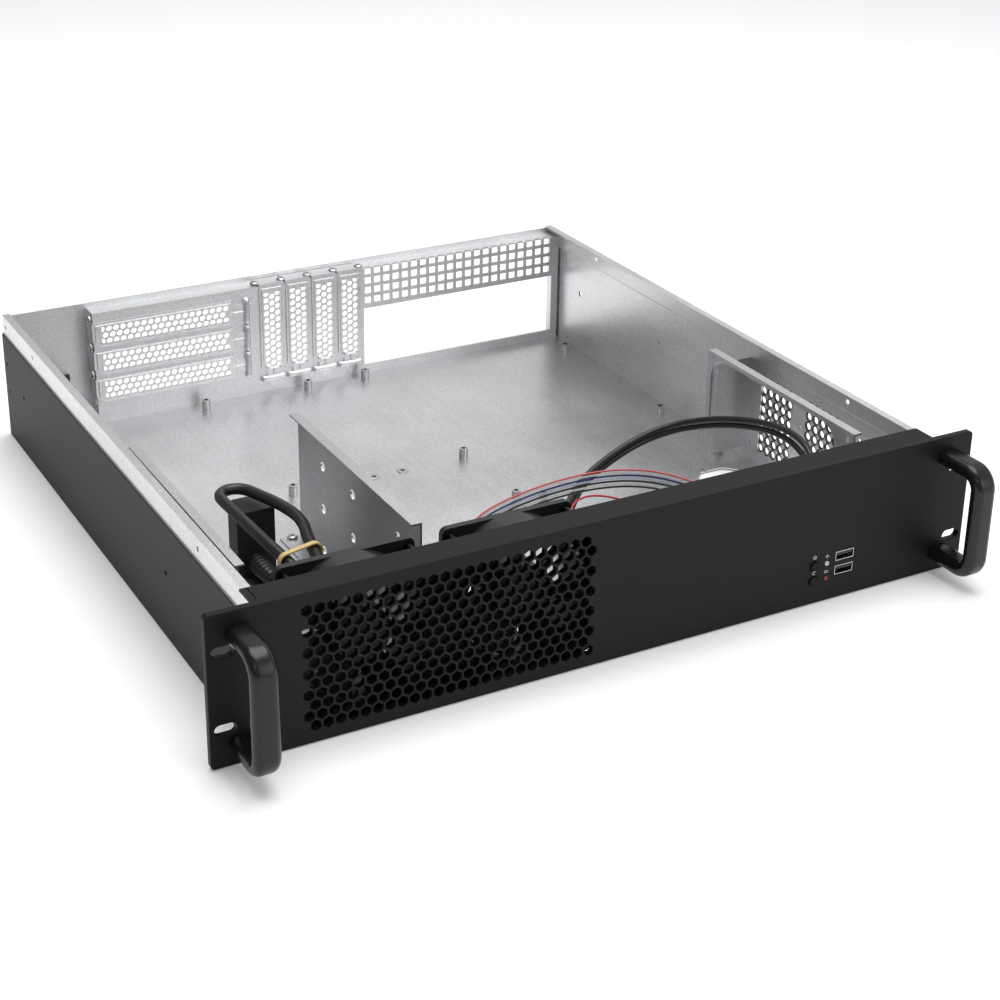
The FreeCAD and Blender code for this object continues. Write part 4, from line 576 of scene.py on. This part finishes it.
# ---- Front frame ----
# Sheet closing the tray behind the panel, its top flange under the lid's front edge, coated
# black before the panel is put on.


def powder_coat(name, colour, gloss, pebble=0.1):
    """Matt powder coat, baked on: a faint pebbled skin over an even colour."""
    finish = fine_skin(name, (1100.0, 5.0, 0.6), (0.32, [channel * 0.8 for channel in colour]),
                       (0.7, [channel * 1.25 for channel in colour]), (gloss - 0.05, gloss + 0.08), pebble)
    tune(finish, "Specular IOR Level", coat_shine)
    return finish


panel_coat = powder_coat("panel coat", coat_black, 0.5)
dress("front_frame", panel_coat)

# ---- Fan wall and fans ----
# A black coated plate carries two moulded axial fans on long blackened screws; each rotor
# turns on the bearing tube of its frame.

dress("fan_wall", panel_coat)
fan_moulding = moulding("fan moulding", (0.01, 0.01, 0.0105), 0.38)
for side in ("left", "right"):
    dress("fan_frame_" + side, fan_moulding)
    dress("fan_rotor_" + side, fan_moulding)
blackened = powder_coat("blackened steel", (0.03, 0.03, 0.032), 0.3, 0.05)
tune(blackened, "Metallic", 1.0)
cross_screws("fan_wall_screws", "fan_screws", (0, 1, 0), 0.0036, 0.002, 0.0019, blackened)

# ---- Mains lead ----
# Round black rubber lead from the inlet along the left wall, doubled back in a hairpin under a
# rubber band, ending in a moulded connector; a ribbed strain relief at either end.


def laid(x, y, z):
    """A place given from the panel's face, in millimetres, as metres in the case's frame."""
    return (x / 1000, (y - panel_face) / 1000, z / 1000)


def lead(name, route, round_mm, finish, node):
    """One smooth round lead through its control points, riding on the case."""
    line = bpy.data.curves.new(name, "CURVE")
    line.dimensions = "3D"
    run = line.splines.new("NURBS")
    run.points.add(len(route) - 1)
    for point, spot in zip(run.points, route):
        point.co = (*spot, 1)
    run.order_u = 3
    run.use_endpoint_u = True
    run.resolution_u = 8
    line.bevel_depth = round_mm / 2000
    line.bevel_resolution = 3
    line.use_fill_caps = True
    line.materials.append(finish)
    piece = bpy.data.objects.new(name, line)
    bpy.context.collection.objects.link(piece)
    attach(piece, "case")
    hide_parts(node)
    return piece


def tapered_sleeve(name, cord, from_end, housing, long, wide_round, slim_round, finish):
    """A ribbed strain relief that follows a lead's own line from the housing that it leaves."""
    bare = cord.data.copy()
    bare.bevel_depth = 0
    line = bpy.data.meshes.new_from_object(bpy.data.objects.new("line of " + name, bare))
    spots = [corner.co.copy() for corner in line.vertices]
    if from_end:
        spots.reverse()
    spots.insert(0, Vector(housing))
    steps = 18
    groove = 0.0005
    mesh = bmesh.new()
    rings = []
    for number in range(steps + 1):
        wanted = long * number / steps
        step = 0
        gone = 0.0
        while step < len(spots) - 2 and gone + (spots[step + 1] - spots[step]).length < wanted:
            gone += (spots[step + 1] - spots[step]).length
            step += 1
        ahead = (spots[step + 1] - spots[step]).normalized()
        middle = spots[step] + ahead * (wanted - gone)
        side = ahead.cross(Vector((0, 0, 1))).normalized()
        over = side.cross(ahead)
        radius = wide_round + (slim_round - wide_round) * number / steps
        if number % 2 == 1:
            radius -= groove
        rings.append([mesh.verts.new(middle + side * u + over * v) for u, v in circle(radius, 24)])
    for lower, upper in zip(rings, rings[1:]):
        walls(mesh, lower, upper)
    mesh.faces.new(rings[0])
    mesh.faces.new(list(reversed(rings[-1])))
    bmesh.ops.recalc_face_normals(mesh, faces=mesh.faces)
    sleeve = made_piece(name, mesh, finish)
    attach(sleeve, "case")
    return sleeve


jacket = moulding("black jacket", (0.011, 0.011, 0.0115), 0.36, 0.06)
inlet_back = 447 - 22
mains_route = [
    (-187, inlet_back, 25), (-187, inlet_back - 20, 25), (-188, 372, 16), (-190, 330, 6), (-192, 270, 5),
    (-187, 215, 5), (-189, 165, 6), (-184, 122, 10), (-183, 98, 16), (-176, 75, 25), (-163, 58, 34),
    (-146, 58, 40), (-139, 79, 44.2), (-133.5, 122, 48.5), (-127.5, 143, 50.5), (-131.5, 166, 51),
    (-137.5, 182, 51), (-142.5, 195.5, 51), (-152.3, 198.9, 51), (-160.3, 192.9, 51), (-159, 176, 50.5),
    (-156.8, 146, 49), (-149, 98, 43), (-141.5, 76, 31.5), (-129, 67, 19.5), (-118, 80, 10), (-115.5, 98, 6),
    (-119, 118, 6), (-127, 138, 8), (-143, 150, 10), (-143, 168, 10)]
mains_lead = lead("mains_lead", [laid(*spot) for spot in mains_route], 7, jacket, "power_cord")
inlet_sleeve = tapered_sleeve("inlet_sleeve", mains_lead, False, laid(-187, inlet_back + 0.3, 25), 0.024,
                              0.0062, 0.0041, jacket)
plug_sleeve = tapered_sleeve("plug_sleeve", mains_lead, True, laid(-143, 177.5, 10), 0.03, 0.0066, 0.0042,
                             jacket)
dress("cord_plug", black_moulding, 0.0006)
dress("cord_band", moulding("pale band", (0.62, 0.47, 0.2), 0.45, 0.05), 0.0003)

# ---- Front panel ----
# Thick plate across the rack, punched with ear slots, a staggered hexagon grille and the
# windows of the controls, then powder coated black all over and printed with small signs.


def grown(outline, by):
    """An outline moved outward all round, its corners kept square to their sides."""
    moved = []
    for before, corner, after in zip(outline[-1:] + outline[:-1], outline, outline[1:] + outline[:1]):
        first = Vector((corner[1] - before[1], before[0] - corner[0])).normalized()
        second = Vector((after[1] - corner[1], corner[0] - after[0])).normalized()
        shift = (first + second) * (by / (1 + first.dot(second)))
        moved.append((corner[0] + shift.x, corner[1] + shift.y))
    return moved


def rounded(x, z, wide, high, corner, steps):
    """A rounded rectangle, a slot or a circle round a middle, run anticlockwise."""
    outline = []
    for number, (right_side, top_side) in enumerate(((1, 1), (-1, 1), (-1, -1), (1, -1))):
        for k in range(steps + 1):
            angle = (number + k / steps) * math.pi / 2
            outline.append((x + right_side * (wide / 2 - corner) + corner * math.cos(angle),
                            z + top_side * (high / 2 - corner) + corner * math.sin(angle)))
    return [spot for spot, after in paired(outline) if math.dist(spot, after) > 0.000001]


def punched_plate(name, outline, holes, front, back, ease, finish):
    """A thick plate with holes right through, every front edge eased by a small chamfer."""
    mesh = bmesh.new()
    loops = []
    for number, shape in enumerate([outline] + holes):
        eased = grown(shape, -ease if number == 0 else ease)
        rings = [[mesh.verts.new((u, level, v)) for u, v in points]
                 for points, level in ((eased, front), (shape, front + ease), (shape, back))]
        walls(mesh, rings[0], rings[1])
        walls(mesh, rings[1], rings[2])
        loops.append(rings)
    for end, facing in ((0, -1), (2, 1)):
        edges = [mesh.edges.get(pair) for rings in loops for pair in paired(rings[end])]
        bmesh.ops.triangle_fill(mesh, edges=edges, use_beauty=True, normal=(0, facing, 0))
    bmesh.ops.recalc_face_normals(mesh, faces=mesh.faces)
    return made_piece(name, mesh, finish, 0.5)


plate_low, plate_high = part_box("front_panel")
plate_mid = (plate_low.z + plate_high.z) / 2
hex_pitch = 0.00707
hex_rise = 0.00615
hex_corner = 0.0056 / math.sqrt(3)
hex_left = -0.18367
hex_low = 0.01015
button_x = 0.131
light_x = 0.140
port_x = 0.153
ear_across = 0.23255
ear_up = 0.022225
bolt_across = 0.2238
bolt_up = 0.0315
plate_holes = []
for row in range(12):
    for column in range(24):
        x = hex_left + hex_pitch * (column - 0.5 * (row % 2))
        z = hex_low + hex_rise * row
        plate_holes.append([(x + hex_corner * math.cos(math.pi * (k + 0.5) / 3),
                             z + hex_corner * math.sin(math.pi * (k + 0.5) / 3)) for k in range(6)])
for side in (-1, 1):
    for level in (-1, 1):
        plate_holes.append(rounded(side * ear_across, plate_mid + level * ear_up, 0.0123, 0.0065, 0.00325, 6))
        plate_holes.append(rounded(side * bolt_across, plate_mid + level * bolt_up, 0.0052, 0.0052, 0.0026,
                                   4))
for height in (0.0248, 0.0152):
    plate_holes.append(rounded(button_x, height, 0.0063, 0.0063, 0.00315, 6))
    plate_holes.append(rounded(light_x, height, 0.0031, 0.0031, 0.00155, 4))
for height in (0.0274, 0.0183):
    plate_holes.append(rounded(port_x, height, 0.0136, 0.0063, 0.0002, 1))
front_plate = punched_plate(
    "front_plate", rounded(0, plate_mid, plate_high.x - plate_low.x, plate_high.z - plate_low.z, 0.0025, 6),
    plate_holes, plate_low.y, plate_high.y, 0.0003, panel_coat)
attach(front_plate, "case")
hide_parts("front_panel")
ink = moulding("white print", (0.62, 0.62, 0.62), 0.6, 0.02)


def printed_mark(name, x, z, strokes):
    """A small printed sign on the panel: each stroke is a band along a line of points."""
    mesh = bmesh.new()
    for points, wide in strokes:
        line = [Vector(point) * 0.001 for point in points]
        sides = []
        for number, spot in enumerate(line):
            along = (line[min(number + 1, len(line) - 1)] - line[max(number - 1, 0)]).normalized()
            across = Vector((-along.y, along.x)) * (wide / 2000)
            sides.append([mesh.verts.new((x + edge.x, plate_low.y - 0.00001, z + edge.y))
                          for edge in (spot - across, spot + across)])
        for (a, b), (c, d) in zip(sides, sides[1:]):
            mesh.faces.new((a, c, d, b))
    mark = made_piece(name, mesh, ink)
    coat = mark.modifiers.new("ink", "SOLIDIFY")
    coat.thickness = 0.00002
    coat.offset = 0
    mark.parent = front_plate


def turned(radius, degrees):
    """A point at an angle on a circle about a mark's middle."""
    return (radius * math.cos(math.radians(degrees)), radius * math.sin(math.radians(degrees)))


def arc(radius, first, last):
    """Points on an arc about a mark's middle, from one angle to another in degrees."""
    return [turned(radius, first + (last - first) * k / 14) for k in range(15)]


printed_mark("power_mark", button_x, 0.0306, [(arc(1.0, 125, 415), 0.36), ([(0, 0.1), (0, 1.35)], 0.36)])
printed_mark("reset_mark", button_x, 0.0203, [
    (arc(0.9, 60, 330), 0.34), ([(0.45, 1.35), (0.45, 0.2)], 0.3), ([(0.45, 0.8), (1.2, 0.8)], 0.3)])
rays = [([turned(0.95, 90 * k), turned(1.45, 90 * k)], 0.3) for k in range(4)]
printed_mark("lit_mark", light_x, 0.0293, [(arc(0.6, 0, 360), 0.3)] + rays)
printed_mark("drive_mark", light_x, 0.0193, [
    ([(-1.1, 0.6), (1.1, 0.6)], 0.3), ([(-1.1, -0.6), (1.1, -0.6)], 0.3),
    ([(-1.1, 0.75), (-1.1, -0.75)], 0.3), ([(1.1, 0.75), (1.1, -0.75)], 0.3)])

# ---- Handles ----
# Solid flat-oval bar bent into bows, satin black, each held by two plated screws through the
# panel from behind.

handle_coat = powder_coat("handle coat", (0.006, 0.006, 0.0064), 0.24, 0.04)
tune(handle_coat, "Specular IOR Level", 0.36)
for node in ("left_handle", "right_handle"):
    dress(node, handle_coat)
cross_screws("handle_screws", "handle_bolts", (0, 1, 0), 0.00432, 0.0024, 0.0024, plated)

# ---- Front controls ----
# A small green board behind the panel carries two switches, two light pipes and two ports;
# two black buttons stand in the panel's holes in front of the switches.

dress("control_board", moulding("board green", (0.03, 0.13, 0.06), 0.35, 0.08))
dress("board_bracket", cage_steel_painted_shade)
dress("board_studs", plated)
dress("button_switches", black_moulding, 0.0001)
button_black = moulding("button black", (0.004, 0.004, 0.004), 0.5)
tune(button_black, "Specular IOR Level", 0.15)
for node in ("power_button", "reset_button"):
    dress(node, button_black, 0.0002)
dress("port_shells", plated, 0.0001)
dress("port_tongues", black_moulding, 0.0001)


def lens(name, colour, painted_glow):
    """Clear tinted lens of a light, with a faint painted glow though the light is unlit."""
    finish = moulding(name, colour, 0.2, 0.02)
    tune(finish, "Transmission Weight", 0.35)
    # A weak emission: painted glow, the lens is no lamp.
    tune(finish, "Emission Color", (*painted_glow, 1))
    tune(finish, "Emission Strength", 0.05)
    return finish


dress("power_light", lens("power lens", (0.55, 0.6, 0.62), (0.6, 0.7, 0.7)), 0.0002)
dress("activity_light", lens("activity lens", (0.2, 0.015, 0.015), (0.5, 0.02, 0.02)), 0.0002)

# ---- Port cables ----
# Two round black cables run side by side from the ports in a wide arc to a header plug that
# lies on the floor.

twin_route = [((25, 82, 4.8), (-3, 0, 0)), ((25, 100, 4.8), (-3, 0, 0)), ((36, 126, 8), (-2.4, 0.8, 1.2)),
              ((55, 150, 14), (-1, 0.6, 2.1)), ((80, 171, 20), (0, 0, 2.3)), ((121, 183, 30), (0, 0, 2.3)),
              ((147, 178, 38), (0, 0, 2.3)), ((164, 158, 47), (0, 0, 2.3)), ((172, 130, 56), (0, 0, 2.3)),
              ((175, 100, 63), (0, 0, 2.3)), ((173, 73, 64), (0, -1, 3.4)),
              ((168.2, 52.5, 56.5), (-1.3, -1.5, 4.5)), ((158.5, 36.5, 39.5), (-2.5, -1.5, 4.5))]
board_back = 14 + 1.6
for label, side, end, long in (("upper", 1, 27.4, 0.377), ("lower", -1, 18.3, 0.3705)):
    route = [laid(x + side * across, y + side * along, z + side * up)
             for (x, y, z), (across, along, up) in twin_route]
    route += [laid(153 - side * 2.5, board_back + 13, end), laid(153 - side * 2.5, board_back, end)]
    cable = lead("port_lead_" + label, route, 4, jacket, "port_cable_" + label)
dress("port_header", black_moulding, 0.0003)

# ---- Control wires ----
# Seven thin plastic-covered wires lie flat together from the small board to plugs on the
# floor, in the usual mix of colours.

white = (0.82, 0.82, 0.82)
black = (0.015, 0.015, 0.016)
wire_colours = [("red", "wire_red", (0.55, 0.09, 0.09)), ("white_one", "wire_white", white),
                ("blue", "wire_blue", (0.02, 0.04, 0.2)), ("pale_blue", "wire_pale", (0.6, 0.64, 0.78)),
                ("black_one", "cord_black", black), ("white_two", "wire_white", white),
                ("black_two", "cord_black", black)]
wire_route = [((-68, 96, 2.8), (0, -2.54, 0)), ((-50, 96, 2.8), (0, -2.54, 0)),
              ((-38, 112, 12), (1.8, -1.3, -0.8)), ((-27.5, 133.8, 30), (0.3, 0, -1.9)),
              ((20, 139, 39.5), (0, 0, -1.9)), ((70, 132, 45), (0, 0, -1.9)), ((101, 109, 46), (0, 0, -1.9)),
              ((119, 68, 42), (0, 0, -1.9)), ((129, 42, 33), (0, 0, -1.9)),
              ((132, board_back + 12, 24), (0, 0, -1.9)), ((132, board_back, 24), (0, 0, -1.9))]
for number, (colour, colour_slot, paint) in enumerate(wire_colours):
    route = [laid(x + across * number, y + along * number, z + up * number)
             for (x, y, z), (across, along, up) in wire_route]
    wire = lead("control_wire_" + colour, route, 1.3, moulding("wire " + colour, paint, 0.38, 0.03),
                "wire_" + colour)
dress("wire_plugs", black_moulding, 0.0002)

# ---- Fan lead ----
# One thin red plastic-covered lead that rises from the right fan's frame in a low arch and
# ends in a small moulded plug near the panel.

fan_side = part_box("fan_frame_right")[1].x
fan_front = -0.187175
fan_exit = (fan_side, fan_front + 0.012, 0.020)
fan_route = [fan_exit, (fan_side + 0.013, *fan_exit[1:]), laid(14, 60, 33), laid(22, 98, 43),
             laid(45, 114, 41), laid(69, 108, 35), laid(90, 86, 24), laid(100, 66, 10), laid(104, 50, 2.8),
             laid(104, 40, 2.8)]
fan_lead = lead("fan_wire", fan_route, 1.3, moulding("fan wire red", (0.45, 0.02, 0.02), 0.38, 0.03),
                "fan_lead")
dress("fan_lead_plug", black_moulding, 0.0002)

# ---- Studio ----
# A pale floor, a broad softbox overhead and two weaker ones at the front left and right, under
# a sky that is brighter on the right; the camera stands where the photograph was taken from.

floor_reach = 4
floor_level = -0.0004
floor_mesh = bpy.data.meshes.new("studio_floor")
floor_mesh.from_pydata([(x * floor_reach, y * floor_reach, floor_level)
                        for x, y in ((-1, -1), (1, -1), (1, 1), (-1, 1))], [], [(0, 1, 2, 3)])
floor = bpy.data.objects.new("studio_floor", floor_mesh)
bpy.context.collection.objects.link(floor)
pale = bpy.data.materials.new("pale floor")
pale.use_nodes = True
tune(pale, "Base Color", (0.93, 0.93, 0.93, 1))
tune(pale, "Roughness", 0.9)
tune(pale, "Emission Color", (1, 1, 1, 1))
tune(pale, "Emission Strength", 0.1)
floor_mesh.materials.append(pale)

world = bpy.data.worlds.new("studio air")
bpy.context.scene.world = world
world.use_nodes = True
sky = world.node_tree.nodes["Background"]
sky.inputs["Color"].default_value = (1, 1, 1, 1)
around = world.node_tree.nodes.new("ShaderNodeTexCoord")
apart = world.node_tree.nodes.new("ShaderNodeSeparateXYZ")
world.node_tree.links.new(around.outputs["Generated"], apart.inputs["Vector"])
bright_right = world.node_tree.nodes.new("ShaderNodeMapRange")
for socket, value in (("From Min", -0.4), ("From Max", 0.5), ("To Min", 0.22), ("To Max", 0.78)):
    bright_right.inputs[socket].default_value = value
world.node_tree.links.new(apart.outputs["X"], bright_right.inputs["Value"])
world.node_tree.links.new(bright_right.outputs["Result"], sky.inputs["Strength"])

for name, spot, aim, size, watts in (("overhead softbox", (0.1, 0.1, 1.9), (0, 0, 0), 1.6, 36),
                                     ("side softbox", (-1.3, -1.5, 1.3), (0, 0, 0.05), 0.6, 2.6),
                                     ("front softbox", (0.9, -1.9, 0.9), (0, 0, 0.05), 1.2, 8)):
    lamp = bpy.data.lights.new(name, "AREA")
    lamp.shape = "SQUARE"
    lamp.size = size
    lamp.energy = watts
    light = bpy.data.objects.new(name, lamp)
    light.location = spot
    light.rotation_euler = (Vector(aim) - Vector(spot)).to_track_quat("-Z", "Y").to_euler()
    bpy.context.collection.objects.link(light)

lens_box = bpy.data.cameras.new("product camera")
lens_box.lens = 70.68
lens_box.sensor_width = 36
lens_box.sensor_fit = "HORIZONTAL"
lens_box.shift_x = 0.03
lens_box.shift_y = -0.10
lens_box.clip_start = 0.05
turn = math.radians(-28.32)
rise = math.radians(23.39)
tilt = math.radians(0.54)
back = Vector((math.sin(turn) * math.cos(rise), -math.cos(turn) * math.cos(rise), math.sin(rise)))
right = Vector((0, 0, 1)).cross(back).normalized()
up = back.cross(right)
right_rolled = math.cos(tilt) * right + math.sin(tilt) * up
up_rolled = -math.sin(tilt) * right + math.cos(tilt) * up
camera = bpy.data.objects.new("product camera", lens_box)
camera.matrix_world = Matrix.Translation((-0.5216, -0.7894 - panel_face / 1000, 0.5622)) @ Matrix(
    (right_rolled, up_rolled, back)).transposed().to_4x4()
bpy.context.collection.objects.link(camera)
bpy.context.scene.camera = camera
bpy.context.scene.view_settings.view_transform = "Standard"
